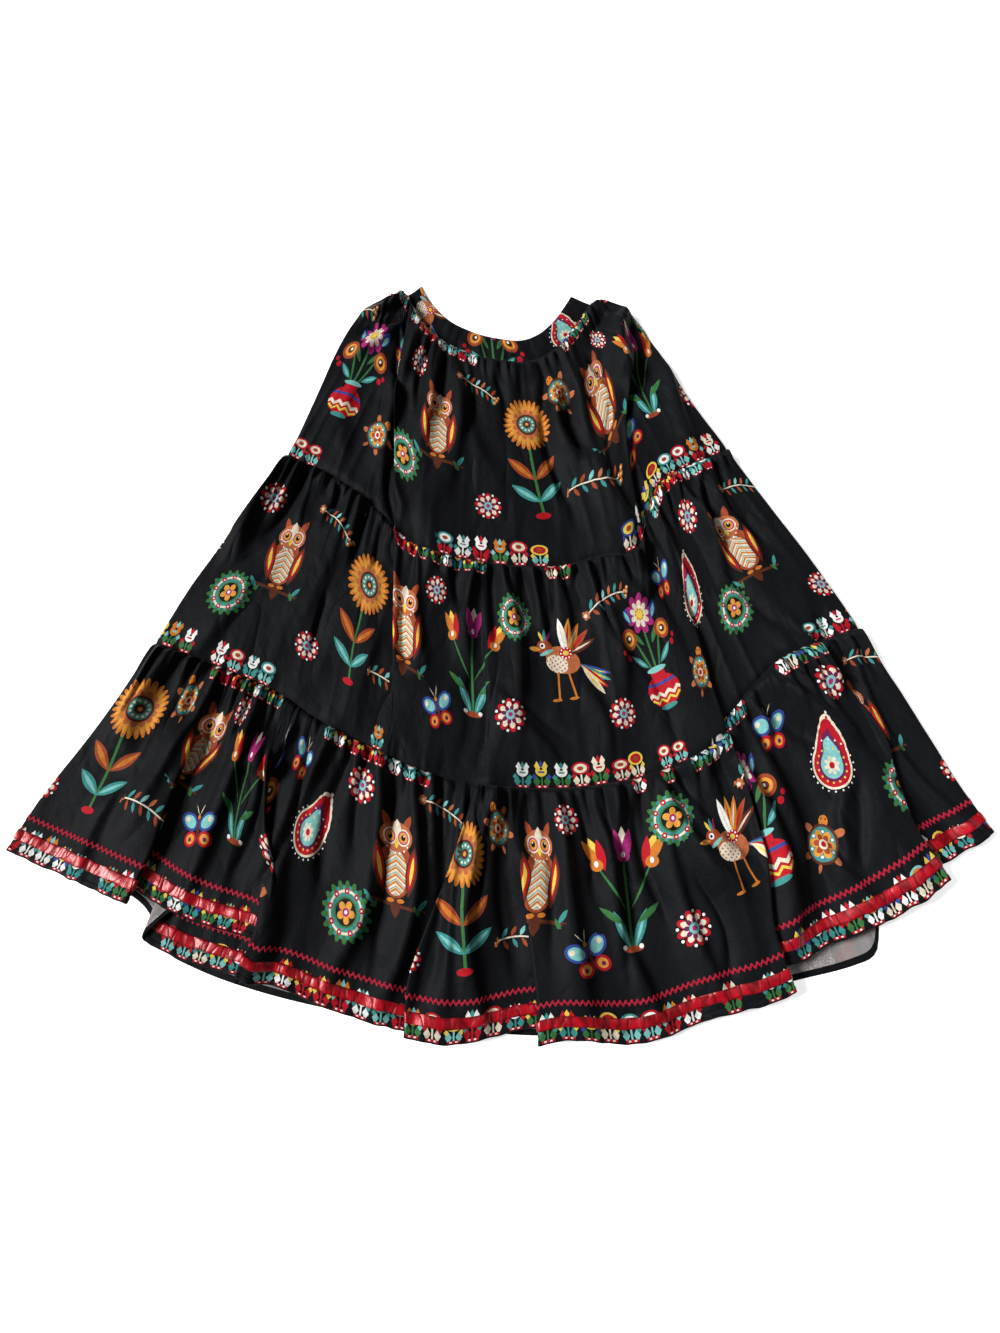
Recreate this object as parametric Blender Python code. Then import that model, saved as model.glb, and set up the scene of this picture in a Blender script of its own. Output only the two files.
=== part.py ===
"""Tiered prairie skirt laid flat, front over back, waist toward +Y and hem toward -Y.

Metres, +Z up, origin under the middle of the lay, underside of the back at z = 0.
Every piece is a wall of cloth over one lay: a fan of bearings, in degrees, around a
pole beyond the waist. A point of the lay has a bearing and a cloth distance, measured
from the waist seam toward the hem. Cloth is the distance down the skirt, reach is
the distance from the pole, lift is the height of the middle of the wall.
"""
import math

import bpy

# Driving sizes
TIER = 0.290               # finished depth of each of the three tiers
BAND = 0.038               # finished height of the elastic waistband
LENGTH = 3 * TIER          # waist seam to hem
POLE = (-0.0242, 0.7773)   # where the sides of the fan would meet
WALL = 0.0014              # front cloth with its air and loft
BACK_WALL = 0.0012
BAND_WALL = 0.0024         # casing with the elastic in it
GAP = 0.0003               # between pieces that touch
SEAM_GAP = 0.0004          # each side of a seam, along the cloth

SIDE_ROLL = 0.0032         # how far in from the outline the side fold rounds down
SIDE_STEPS = (0.0, 0.07, 0.29, 0.62, 1.0)
BACK_INSET = 0.0030        # the back lies inside the rolled side folds
LAP_RADIUS = 0.0030        # bend of the middle of the wall where cloth laps over itself
LAP_TURNED = 0.35          # share of its growth at which a lap has turned right over
LAP_FADE = 0.35            # how small its bends start
LAP_TURN_STEPS = 3
LAP_RUN_STEPS = 2
LAP_RUN_LEAST = 0.0004
LAP_LEVEL = 0.004          # how far past the tucked cloth the raised side stays level
LAP_RAMP = 0.085           # how far the raised side then takes to come down
DROP_TAKEN = 0.030         # cloth at a lap's tucked turn that takes its drop
DROP_SPREAD = 0.060        # how fast a drop dies out beside its lap

TRIM_SEAT = GAP + 0.0001   # the trims lie this far off the cloth
RIBBON_WIDTH = 0.0127
RIBBON_WALL = 0.0006
RIBBON_EDGE = LENGTH - 0.0150     # lower edge of the ribbon
BRAID_WIDTH = 0.0048              # width of the rickrack's own band
BRAID_SWING = 0.0017              # how far its waves swing each way
BRAID_WALL = 0.0008
BRAID_LINE = LENGTH - 0.0435      # middle line of the rickrack

# The side folds: cloth distance, bearing of the left one, bearing of the right one
SIDES = (
    (-BAND, -17.4, 22.2),
    (0.000, -20.2, 25.6),
    (0.015, -23.5, 28.6),
    (0.040, -26.6, 31.2),
    (0.085, -27.8, 31.9),
    (0.200, -26.2, 31.0),
    (0.290, -25.4, 31.1),
    (0.490, -26.9, 31.2),
    (0.650, -26.9, 30.8),
    (0.800, -27.8, 30.3),
    (0.870, -27.8, 30.3),
)

# How far from the pole the cloth starts: bearing, then the reach less the cloth
# distance at the waist seam, first seam, second seam and hem
LAY = (
    (-30.0, 0.317, 0.314, 0.330, 0.333),
    (-24.0, 0.317, 0.316, 0.320, 0.323),
    (-20.0, 0.318, 0.318, 0.319, 0.322),
    (-16.0, 0.342, 0.330, 0.326, 0.322),
    (-12.5, 0.361, 0.349, 0.346, 0.321),
    (-8.0, 0.380, 0.388, 0.368, 0.367),
    (-4.0, 0.391, 0.402, 0.390, 0.390),
    (-1.0, 0.398, 0.406, 0.400, 0.400),
    (3.0, 0.405, 0.414, 0.409, 0.386),
    (8.0, 0.411, 0.420, 0.414, 0.411),
    (12.0, 0.405, 0.418, 0.412, 0.405),
    (16.0, 0.390, 0.421, 0.400, 0.403),
    (18.5, 0.378, 0.385, 0.380, 0.376),
    (21.0, 0.366, 0.345, 0.352, 0.368),
    (24.0, 0.352, 0.335, 0.330, 0.361),
    (28.0, 0.340, 0.336, 0.332, 0.345),
    (33.0, 0.340, 0.340, 0.346, 0.333),
)

# Where the back's hem ends: bearing, reach
BACK_HEM = (
    (-30.0, 1.188), (-21.0, 1.184), (-19.0, 1.196), (-17.4, 1.236), (-15.5, 1.247),
    (-12.0, 1.250), (-2.0, 1.256), (3.0, 1.267), (9.0, 1.268), (13.0, 1.258),
    (16.5, 1.259), (20.0, 1.265), (21.2, 1.260), (22.4, 1.222), (24.5, 1.206), (32.0, 1.188),
)

# Where cloth laps over itself. Top is the side that lies above. Path rows hold the
# cloth distance and the bearing of the edge that shows. The overlap grows from
# nothing at start to its full width at full, and fades out from ease to end. Drop is
# how much lower the cloth right of the edge hangs, dying out away from it.
LAPS = {
    "left_drape": dict(
        top="right", start=-0.020, full=0.120, ease=0.330, end=0.520, overlap=0.020, drop=0.0,
        path=((0.0, -17.6), (0.110, -14.9), (0.290, -9.9), (0.520, -6.8))),
    "shoulder_drape": dict(
        top="left", start=0.075, full=0.200, ease=0.240, end=0.390, overlap=0.009, drop=0.0,
        path=((0.0, 22.0), (0.090, 27.6), (0.145, 23.8), (0.200, 19.6), (0.300, 17.0), (0.400, 15.2))),
    "right_drape": dict(
        top="left", start=0.330, full=0.800, ease=1.0, end=1.1, overlap=0.034, drop=-0.028,
        path=((0.290, 20.6), (0.390, 19.3), (0.560, 17.9), (0.720, 17.3), (0.800, 16.2), (0.870, 16.2))),
    "centre_pleat": dict(
        top="right", start=0.290, full=0.800, ease=1.0, end=1.1, overlap=0.014, drop=0.005,
        path=((0.290, -0.2), (0.500, 0.3), (0.600, -0.7), (0.800, -3.8), (0.870, -3.8))),
    "far_right_fold": dict(
        top="left", start=0.500, full=0.800, ease=1.0, end=1.1, overlap=0.016, drop=-0.018,
        path=((0.500, 26.5), (0.620, 27.4), (0.720, 27.5), (0.800, 26.3), (0.870, 26.3))),
    "wing_tuck": dict(
        top="left", start=0.625, full=0.800, ease=1.0, end=1.1, overlap=0.012, drop=-0.017,
        path=((0.580, -20.0), (0.680, -20.3), (0.800, -19.7), (0.870, -19.7))),
    "wing_fold": dict(
        top="left", start=0.610, full=0.800, ease=1.0, end=1.1, overlap=0.115, drop=0.044,
        path=((0.580, -15.6), (0.680, -15.9), (0.740, -14.9), (0.800, -12.7), (0.870, -12.7))),
    "hem_pleat": dict(
        top="right", start=0.640, full=0.800, ease=1.0, end=1.1, overlap=0.014, drop=0.018,
        path=((0.580, 1.9), (0.800, 2.9), (0.870, 2.9))),
}

# Each tier: cloth at its top and bottom, column pitch of its front, rows down the front
# as fractions, laps from left to right, and gathers: how many across, how high and how
# far down they fade. Then the columns and rows of its back.
TIERS = (
    dict(name="tier_1", top=0.0, bottom=TIER, pitch=0.0092,
         rows=(0.0, 0.04, 0.13, 0.30, 0.55, 0.80, 1.0),
         laps=("left_drape", "shoulder_drape"),
         gathers=17, gather_lift=0.0046, fade=0.075,
         back_columns=32, back_rows=(0.0, 0.04, 0.13, 0.30, 0.55, 0.80, 1.0)),
    dict(name="tier_2", top=TIER, bottom=2 * TIER, pitch=0.0120,
         rows=(0.0, 0.04, 0.13, 0.30, 0.55, 0.80, 1.0),
         laps=("left_drape", "centre_pleat", "shoulder_drape", "right_drape", "far_right_fold"),
         gathers=25, gather_lift=0.0066, fade=0.085,
         back_columns=32, back_rows=(0.0, 0.30, 0.55, 0.80, 1.0)),
    dict(name="tier_3", top=2 * TIER, bottom=LENGTH, pitch=0.0128,
         rows=(0.0, 0.04, 0.13, 0.30, 0.55, 0.80, 1.0),
         laps=("wing_tuck", "wing_fold", "centre_pleat", "hem_pleat", "right_drape", "far_right_fold"),
         gathers=33, gather_lift=0.0074, fade=0.095,
         back_columns=56, back_rows=(0.0, 0.30, 0.55, 0.80, 1.0)),
)

# The long soft waves that run down the fan: how many in 60 degrees, where down the
# skirt they start and are full, and how high they stand
LONG_WAVES = (
    dict(count=9, phase=0.6, start=0.06, full=0.40, lift=0.0045),
    dict(count=23, phase=2.1, start=0.52, full=0.80, lift=0.0065),
)
# How far waves and gathers stray from even spacing, in turns, and how often: by the
# degree for the long waves, by the gather for the gathers
LONG_SWAY = ((0.35, 0.23), (0.20, 0.47))
GATHER_SWAY = ((0.33, 1.7), (0.21, 0.6))
WAVE_LEAST = 0.30          # height of the lowest wave or gather, as a share of the highest
GATHER_RISE = 0.011        # how soon below its seam a gather stands up
RUCKS = 15                 # the elastic's rucks across the waistband
RUCK_LIFT = 0.0013
BAND_COLUMNS = 45
BAND_ROWS = (0.0, 0.2, 0.8, 1.0)

COLOURS = {
    "cloth": (0.012, 0.012, 0.014, 1.0),
    "wrong_side": (0.020, 0.018, 0.020, 1.0),
    "satin": (0.45, 0.012, 0.030, 1.0),
    "braid": (0.34, 0.010, 0.035, 1.0),
}
ROUGHNESS = {"cloth": 0.85, "wrong_side": 0.9, "satin": 0.35, "braid": 0.6}


def clear_scene():
    for thing in list(bpy.data.objects):
        bpy.data.objects.remove(thing, do_unlink=True)


def ease(t):
    """0 to 1 with soft ends."""
    t = min(1.0, max(0.0, t))
    return t * t * (3.0 - 2.0 * t)


def lerp(a, b, t):
    return a + (b - a) * t


def read_table(rows, x, column):
    """A smooth curve through one column of a table whose first column is sorted."""
    if x <= rows[0][0]:
        return rows[0][column]
    if x >= rows[-1][0]:
        return rows[-1][column]
    i = 0
    while x > rows[i + 1][0]:
        i += 1

    def slope(k):
        low, high = max(k - 1, 0), min(k + 1, len(rows) - 1)
        return (rows[high][column] - rows[low][column]) / (rows[high][0] - rows[low][0])

    width = rows[i + 1][0] - rows[i][0]
    t = (x - rows[i][0]) / width
    a, b = rows[i][column], rows[i + 1][column]
    ma, mb = slope(i) * width, slope(i + 1) * width
    return ((2 * t**3 - 3 * t**2 + 1) * a + (t**3 - 2 * t**2 + t) * ma
            + (3 * t**2 - 2 * t**3) * b + (t**3 - t**2) * mb)


# The lay: a bearing and a cloth distance to a place on the table
def start_of_cloth(bearing, cloth):
    level = min(3.0, max(0.0, cloth / TIER))
    upper = min(2, int(level))
    return lerp(read_table(LAY, bearing, 1 + upper), read_table(LAY, bearing, 2 + upper), level - upper)


def plan(bearing, reach):
    angle = math.radians(bearing)
    return POLE[0] + reach * math.sin(angle), POLE[1] - reach * math.cos(angle)


def across(bearing, cloth):
    """The level direction in which a row of the lay runs, left to right."""
    before, after = bearing - 0.25, bearing + 0.25
    x0, y0 = plan(before, cloth + start_of_cloth(before, cloth))
    x1, y1 = plan(after, cloth + start_of_cloth(after, cloth))
    size = math.hypot(x1 - x0, y1 - y0)
    return (x1 - x0) / size, (y1 - y0) / size


def sides_at(cloth):
    return read_table(SIDES, cloth, 1), read_table(SIDES, cloth, 2)


# Laps
def lap_edge(lap, cloth):
    return read_table(lap["path"], cloth, 1)


def lap_fullness(lap, cloth):
    grown = ease((cloth - lap["start"]) / (lap["full"] - lap["start"]))
    faded = 1.0 - ease((cloth - lap["ease"]) / (lap["end"] - lap["ease"]))
    return grown * faded


def lap_section(lap, cloth):
    """Steps across and up from the edge that shows, left to right, and the share of
    the lap's drop that each step has taken, which is all at the tucked turn."""
    fullness = lap_fullness(lap, cloth)
    turned = min(1.0, fullness / LAP_TURNED)
    turn = math.pi * turned
    run = lap["overlap"] * max(0.0, (fullness - LAP_TURNED) / (1.0 - LAP_TURNED))
    bend = LAP_RADIUS * lerp(LAP_FADE, 1.0, turned) * math.pi / LAP_TURN_STEPS
    step = run / LAP_RUN_STEPS + LAP_RUN_LEAST
    turning = [turn * (i + 0.5) / LAP_TURN_STEPS for i in range(LAP_TURN_STEPS)]
    headings = turning + [turn] * LAP_RUN_STEPS + turning[::-1]
    lengths = [bend] * LAP_TURN_STEPS + [step] * LAP_RUN_STEPS + [bend] * LAP_TURN_STEPS
    taken = min(DROP_TAKEN, 2 * LAP_TURN_STEPS * bend + LAP_RUN_STEPS * step)
    points = [(0.0, 0.0, 0.0)]
    along = 0.0
    for heading, length in zip(headings, lengths):
        x, z, share = points[-1]
        along += length
        points.append((x + length * math.cos(heading), z + length * math.sin(heading), ease(along / taken)))
    edge = min(x for x, z, share in points[len(points) // 2:])
    points = [(x - edge, z, share) for x, z, share in points]
    if lap["top"] == "left":
        points = [(-x, z, 1.0 - share) for x, z, share in reversed(points)]
    return points


def lap_lift(lap, section, bearing, reach):
    """Height of the raised side of a lap at a bearing, coming down away from it."""
    height = max(z for place, z, passed in section)
    if lap["top"] == "right":
        away = bearing - max(place for place, z, passed in section)
    else:
        away = min(place for place, z, passed in section) - bearing
    return height * (1.0 - ease((math.radians(away) * reach - LAP_LEVEL) / LAP_RAMP))


def lap_drop(lap, bearing, cloth, reach):
    """How much lower the cloth right of a lap hangs, whole under the lap itself."""
    beyond = max(0.0, math.radians(bearing - lap_edge(lap, cloth)) * reach)
    return lap["drop"] * lap_fullness(lap, cloth) * math.exp(-beyond / DROP_SPREAD)


# Waves and gathers, the same for every layer at one place so that no layer meets another
def wave(turns):
    """0 to 1 and back once in each turn."""
    return 0.5 + 0.5 * math.cos(2 * math.pi * turns)


def uneven(x):
    """A height from WAVE_LEAST to 1, changing slowly."""
    return lerp(WAVE_LEAST, 1.0, 0.5 + 0.5 * math.sin(x))


def long_waves(bearing, cloth):
    lift = 0.0
    for rule in LONG_WAVES:
        grown = ease((cloth - rule["start"]) / (rule["full"] - rule["start"]))
        turns = rule["count"] * (bearing + 30.0) / 60.0
        stray = sum(sway * math.sin(rate * bearing + rule["phase"]) for sway, rate in LONG_SWAY)
        lift += rule["lift"] * grown * uneven(0.37 * bearing + 2.0 * rule["phase"]) * wave(turns + stray)
    return lift


def gathers(tier, bearing, cloth):
    down = cloth - tier["top"]
    if down < 0.0:
        return 0.0
    left, right = sides_at(cloth)
    turns = tier["gathers"] * (bearing - left) / (right - left)
    stray = sum(sway * math.sin(rate * turns) for sway, rate in GATHER_SWAY)
    length = tier["fade"] * lerp(0.75, 1.2, math.sin(2.3 * turns) ** 2)
    swell = ease(down / GATHER_RISE) * (1.0 - ease((down - GATHER_RISE) / length))
    return tier["gather_lift"] * uneven(0.9 * turns) * swell * wave(turns + stray)


# Rows of points down a front tier
def rolled(step):
    """Share of its height that the wall has, a fraction of the way in from the side."""
    return math.sqrt(1.0 - (1.0 - step) ** 2)


def row_stops(tier, cloth):
    """The laps' sections, and the bearings between which each plain stretch runs."""
    left, right = sides_at(cloth)
    reach = cloth + start_of_cloth(0.5 * (left + right), cloth)
    edge = math.degrees((SIDE_ROLL + 0.5 * WALL) / reach)
    sections, starts, ends = [], [left + edge], []
    for name in tier["laps"]:
        bearing = lap_edge(LAPS[name], cloth)
        section = lap_section(LAPS[name], cloth)
        reach = cloth + start_of_cloth(bearing, cloth)
        section = [(bearing + math.degrees(x / reach), z, passed) for x, z, passed in section]
        sections.append(section)
        ends.append(section[0][0])
        starts.append(section[-1][0])
    ends.append(right - edge)
    return sections, starts, ends


def column_plan(tier):
    """Every column as a stretch with its fraction, or a lap with its step."""
    cloth = tier["bottom"]
    reach = cloth + start_of_cloth(0.0, cloth)
    sections, starts, ends = row_stops(tier, cloth)
    rolls = len(SIDE_STEPS)
    columns = [("left", 0, k) for k in range(rolls)]
    for i in range(len(starts)):
        count = max(3, round(math.radians(ends[i] - starts[i]) * reach / tier["pitch"]))
        columns += [("stretch", i, (k + 0.5) / count) for k in range(count)]
        if i < len(sections):
            columns += [("lap", i, k) for k in range(len(sections[i]))]
    return columns + [("right", 0, rolls - 1 - k) for k in range(rolls)]


def front_row(tier, columns, cloth):
    """One row: bearing, cloth, reach and lift of the wall's middle for each column."""
    laps = [LAPS[name] for name in tier["laps"]]
    left, right = sides_at(cloth)
    sections, starts, ends = row_stops(tier, cloth)
    roll = SIDE_ROLL / (SIDE_ROLL + 0.5 * WALL)
    row = []
    for kind, i, k in columns:
        rise = 1.0
        if kind == "stretch":
            bearing, passed = lerp(starts[i], ends[i], k), i
        elif kind == "lap":
            bearing, passed = sections[i][k][0], i
        else:
            inward = 1.0 - roll * (1.0 - SIDE_STEPS[k])
            rise = rolled(SIDE_STEPS[k])
            bearing = lerp(left, starts[0], inward) if kind == "left" else lerp(right, ends[-1], inward)
            passed = 0 if kind == "left" else len(laps)
        reach = cloth + start_of_cloth(bearing, cloth)
        lift = BACK_WALL + GAP + 0.5 * WALL + long_waves(bearing, cloth) + gathers(tier, bearing, cloth)
        drop = 0.0
        for n, lap in enumerate(laps):
            if kind == "lap" and n == i:
                lift += sections[i][k][1]
                drop += sections[i][k][2] * lap_drop(lap, bearing, cloth, reach)
                continue
            right_of = n < passed
            if (lap["top"] == "right") == right_of:
                lift += lap_lift(lap, sections[n], bearing, reach)
            if right_of:
                drop += lap_drop(lap, bearing, cloth, reach)
        row.append((bearing, cloth, reach + drop, lift * rise))
    return row


def wall_points(row, thickness):
    """Inner and outer points of a wall over a row of middles."""
    places = [plan(bearing, reach) + (lift,) for bearing, cloth, reach, lift in row]
    inner, outer = [], []
    for i, (x, y, z) in enumerate(places):
        before, after = places[max(i - 1, 0)], places[min(i + 1, len(places) - 1)]
        ex, ey = across(row[i][0], row[i][1])
        run = (after[0] - before[0]) * ex + (after[1] - before[1]) * ey
        rise = after[2] - before[2]
        if i == 0:
            run, rise = 0.0, 1.0
        elif i == len(places) - 1:
            run, rise = 0.0, -1.0
        size = math.hypot(run, rise)
        nx, nz = -rise / size * 0.5 * thickness, run / size * 0.5 * thickness
        inner.append((x - nx * ex, y - nx * ey, z - nz))
        outer.append((x + nx * ex, y + nx * ey, z + nz))
    return inner, outer


# Making pieces
def material(kind):
    made = bpy.data.materials.new(kind)
    made.use_nodes = True
    shader = made.node_tree.nodes["Principled BSDF"]
    shader.inputs["Base Color"].default_value = COLOURS[kind]
    shader.inputs["Roughness"].default_value = ROUGHNESS[kind]
    made.diffuse_color = COLOURS[kind]
    return made


def loft_wall(name, inner_rows, outer_rows, kind, collection):
    """One closed body between two grids of points, waist row first."""
    rows, columns = len(inner_rows), len(inner_rows[0])
    points = [p for row in inner_rows for p in row] + [p for row in outer_rows for p in row]
    top = rows * columns

    def at(layer, r, c):
        return layer * top + r * columns + c

    faces = []
    for r in range(rows - 1):
        for c in range(columns - 1):
            faces.append((at(1, r, c), at(1, r + 1, c), at(1, r, c + 1)))
            faces.append((at(1, r + 1, c), at(1, r + 1, c + 1), at(1, r, c + 1)))
            faces.append((at(0, r, c), at(0, r, c + 1), at(0, r + 1, c)))
            faces.append((at(0, r, c + 1), at(0, r + 1, c + 1), at(0, r + 1, c)))
    for c in range(columns - 1):
        faces.append((at(0, 0, c), at(1, 0, c), at(1, 0, c + 1), at(0, 0, c + 1)))
        last = rows - 1
        faces.append((at(0, last, c), at(0, last, c + 1), at(1, last, c + 1), at(1, last, c)))
    for r in range(rows - 1):
        faces.append((at(0, r, 0), at(0, r + 1, 0), at(1, r + 1, 0), at(1, r, 0)))
        end = columns - 1
        faces.append((at(0, r, end), at(1, r, end), at(1, r + 1, end), at(0, r + 1, end)))
    mesh = bpy.data.meshes.new(name)
    mesh.from_pydata(points, [], faces)
    mesh.materials.append(material(kind))
    mesh.shade_smooth()
    mesh.set_sharp_from_angle(angle=math.radians(50))
    piece = bpy.data.objects.new(name, mesh)
    collection.objects.link(piece)
    return piece


def front_tier(tier, collection):
    columns = column_plan(tier)
    top = tier["top"] + SEAM_GAP
    bottom = tier["bottom"] - (SEAM_GAP if tier["bottom"] < LENGTH else 0.0)
    inner_rows, outer_rows = [], []
    for fraction in tier["rows"]:
        row = front_row(tier, columns, lerp(top, bottom, fraction))
        inner, outer = wall_points(row, WALL)
        inner_rows.append(inner)
        outer_rows.append(outer)
    loft_wall(tier["name"] + "_front", inner_rows, outer_rows, "cloth", collection)
    cloths = [lerp(top, bottom, fraction) for fraction in tier["rows"]]
    return columns, cloths, inner_rows, outer_rows


def flat_rows(cloths, count, hem=None):
    """Grids for a plain flat wall on the surface, inside the outline."""
    inner_rows, outer_rows = [], []
    for cloth in cloths:
        left, right = sides_at(cloth)
        margin = math.degrees(BACK_INSET / (cloth + start_of_cloth(left, cloth)))
        inner, outer = [], []
        for c in range(count + 1):
            bearing = lerp(left + margin, right - margin, c / count)
            reach = cloth + start_of_cloth(bearing, cloth)
            if hem:
                ends = read_table(hem, bearing, 1)
                above = cloths[0] + start_of_cloth(bearing, cloths[0])
                reach = lerp(above, ends, (cloth - cloths[0]) / (cloths[-1] - cloths[0]))
            x, y = plan(bearing, reach)
            inner.append((x, y, 0.0))
            outer.append((x, y, BACK_WALL))
        inner_rows.append(inner)
        outer_rows.append(outer)
    return inner_rows, outer_rows


def back_tiers(collection):
    for tier in TIERS:
        top = tier["top"] + SEAM_GAP
        bottom = tier["bottom"] - (SEAM_GAP if tier["bottom"] < LENGTH else 0.0)
        cloths = [lerp(top, bottom, step) for step in tier["back_rows"]]
        hem = BACK_HEM if tier["bottom"] == LENGTH else None
        inner, outer = flat_rows(cloths, tier["back_columns"], hem)
        loft_wall(tier["name"] + "_back", inner, outer, "wrong_side", collection)


def waistband(collection):
    top, bottom = -BAND, -SEAM_GAP
    cloths = [lerp(top, bottom, step) for step in BAND_ROWS]
    inner, outer = flat_rows(cloths, TIERS[0]["back_columns"])
    loft_wall("waistband_back", inner, outer, "cloth", collection)
    inner_rows, outer_rows = [], []
    for cloth in cloths:
        left, right = sides_at(cloth)
        reach = cloth + start_of_cloth(0.0, cloth)
        left += math.degrees(0.5 * BAND_WALL / reach)
        right -= math.degrees(0.5 * BAND_WALL / reach)
        roll = math.degrees(SIDE_ROLL / reach)
        level = [lerp(left + roll, right - roll, k / BAND_COLUMNS) for k in range(1, BAND_COLUMNS)]
        stops = [(left + roll * step, rolled(step)) for step in SIDE_STEPS]
        stops += [(bearing, 1.0) for bearing in level]
        stops += [(right - roll * step, rolled(step)) for step in reversed(SIDE_STEPS)]
        swell = 1.0 - 0.5 * ((cloth - top) / (bottom - top) * 2.0 - 1.0) ** 2
        row = []
        for bearing, rise in stops:
            turns = RUCKS * (bearing - left) / (right - left)
            ruck = RUCK_LIFT * wave(turns + 0.3 * math.sin(1.1 * turns)) * swell
            lift = BACK_WALL + GAP + 0.5 * BAND_WALL + ruck
            row.append((bearing, cloth, cloth + start_of_cloth(bearing, cloth), lift * rise))
        low, high = wall_points(row, BAND_WALL)
        inner_rows.append(low)
        outer_rows.append(high)
    loft_wall("waistband_front", inner_rows, outer_rows, "cloth", collection)


def on_panel(panel, cloth, column, out):
    """A point over the panel at a cloth distance and a column, moved out from it."""
    columns, cloths, inner_rows, outer_rows = panel
    r = 0
    while r < len(cloths) - 2 and cloth > cloths[r + 1]:
        r += 1
    t = (cloth - cloths[r]) / (cloths[r + 1] - cloths[r])
    c = min(int(column), len(outer_rows[0]) - 2)
    u = column - c

    def mix(rows):
        def corner(i, j):
            return rows[r + i][c + j]
        if u + t <= 1.0:
            base, down, side, a, b = corner(0, 0), corner(1, 0), corner(0, 1), t, u
        else:
            base, down, side, a, b = corner(1, 1), corner(0, 1), corner(1, 0), 1.0 - t, 1.0 - u
        return [base[k] + a * (down[k] - base[k]) + b * (side[k] - base[k]) for k in range(3)]

    high, low = mix(outer_rows), mix(inner_rows)
    size = math.dist(high, low)
    return tuple(high[k] + (high[k] - low[k]) / size * out for k in range(3))


def strip(panel, edges, stops, seat, wall):
    """Grids for a narrow band on the panel, between two cloth distances that swing."""
    inner_rows, outer_rows = [[], []], [[], []]
    for column, swing in stops:
        for r in range(2):
            inner_rows[r].append(on_panel(panel, edges[r] + swing, column, seat))
            outer_rows[r].append(on_panel(panel, edges[r] + swing, column, seat + wall))
    return inner_rows, outer_rows


def trims(panel, collection):
    """The satin ribbon and the rickrack, on the lower front tier."""
    columns = panel[0]
    whole = [(column, 0.0) for column in range(1, len(columns) - 1)]
    inner, outer = strip(panel, (RIBBON_EDGE - RIBBON_WIDTH, RIBBON_EDGE), whole, TRIM_SEAT, RIBBON_WALL)
    loft_wall("ribbon_front", inner, outer, "satin", collection)

    # One wave of the rickrack to each plain column, and two to the cloth of a lap
    stops, turns = [], 0.0
    for column in range(1, len(columns) - 1):
        stops.append((column, BRAID_SWING * (2.0 * wave(turns) - 1.0)))
        in_lap = columns[column][0] == "lap" and columns[column + 1][0] == "lap"
        if in_lap:
            turns += 0.25
        elif column < len(columns) - 2:
            stops.append((column + 0.5, BRAID_SWING * (2.0 * wave(turns + 0.5) - 1.0)))
            turns += 1.0
    edges = (BRAID_LINE - 0.5 * BRAID_WIDTH, BRAID_LINE + 0.5 * BRAID_WIDTH)
    inner, outer = strip(panel, edges, stops, TRIM_SEAT, BRAID_WALL)
    loft_wall("rickrack_front", inner, outer, "braid", collection)


def build():
    clear_scene()
    collection = bpy.data.collections.new("tiered_prairie_skirt")
    bpy.context.scene.collection.children.link(collection)
    back_tiers(collection)
    waistband(collection)
    for tier in TIERS:
        panel = front_tier(tier, collection)
    trims(panel, collection)


build()
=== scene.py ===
"""Looks of the tiered prairie skirt: printed cotton, satin ribbon, rickrack and its lay.

The cloth is made over the same lay as the solids: a fan of bearings, in degrees, round a
pole beyond the waist. Cloth is the distance down the skirt from the waist seam, reach is
the distance from the pole, and lift is the height above the surface. Metres, +Z up.
"""
import math

import bpy
import numpy as np
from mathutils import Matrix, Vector


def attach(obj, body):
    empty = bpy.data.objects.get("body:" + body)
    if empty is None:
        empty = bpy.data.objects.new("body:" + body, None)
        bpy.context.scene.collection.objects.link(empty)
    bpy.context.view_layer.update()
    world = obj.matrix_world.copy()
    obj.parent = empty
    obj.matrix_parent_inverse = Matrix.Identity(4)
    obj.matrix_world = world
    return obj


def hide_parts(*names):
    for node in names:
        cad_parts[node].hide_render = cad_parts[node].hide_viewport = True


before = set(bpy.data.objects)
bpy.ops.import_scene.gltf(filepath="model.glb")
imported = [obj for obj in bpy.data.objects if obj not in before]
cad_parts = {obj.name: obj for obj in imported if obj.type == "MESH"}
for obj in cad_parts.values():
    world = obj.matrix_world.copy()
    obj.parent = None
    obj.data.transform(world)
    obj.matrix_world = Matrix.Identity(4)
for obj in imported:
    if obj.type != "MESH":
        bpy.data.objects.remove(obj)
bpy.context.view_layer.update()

TURN = 2.0 * math.pi
THREADS = 0.0011             # pitch of the weave
MOST_SQUEEZED = 1.8          # cloth to each length of a lap, past which its print is left out

# The garment, as its solids have it
TIER = 0.29
BAND = 0.038
LENGTH = 3 * TIER
POLE = (-0.0242, 0.7773)
BACK_TOP = 0.0015            # top of the back, from which the front's heights are counted
CLEAR = 0.0004               # least space between the back and the front
BACK_HEIGHT = 0.0008         # of the middle of the back's cloth
BACK_GATHER = 0.00035        # height of the pressed gathers of the back
SIDE_ROLL = 0.004
CLOTH = 0.0005               # thickness of the cotton with its loft
HEM_TURN = 0.0065            # width of the narrow turned hem
SEAM_TUCK = 0.0012           # how far a tier covers the top of the next
SEAM_DIP = 0.0045            # how wide the cloth is pressed down beside a seam
SEAM_RISE = 0.0008           # how far a tier's edge stands up over the next
SEAM_NIP = 0.0007            # how far its very edge is pulled in again
HEM_RISE = 0.0005            # how far the doubled hem stands up
HEM_DENT = 0.0003            # depth of the dent along its stitches
FOLD_DEPTH = 2.9             # how deep the folds of the table below are made
FOLD_SKEW = 0.38             # how much steeper a fold is on its right than on its left
STREAK = 0.0036              # height of the long soft creases
FINE_STREAK = 0.0005         # and of the narrow ones between them
MIDDLE_REACH = 0.75          # from the pole to the middle of the skirt
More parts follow.
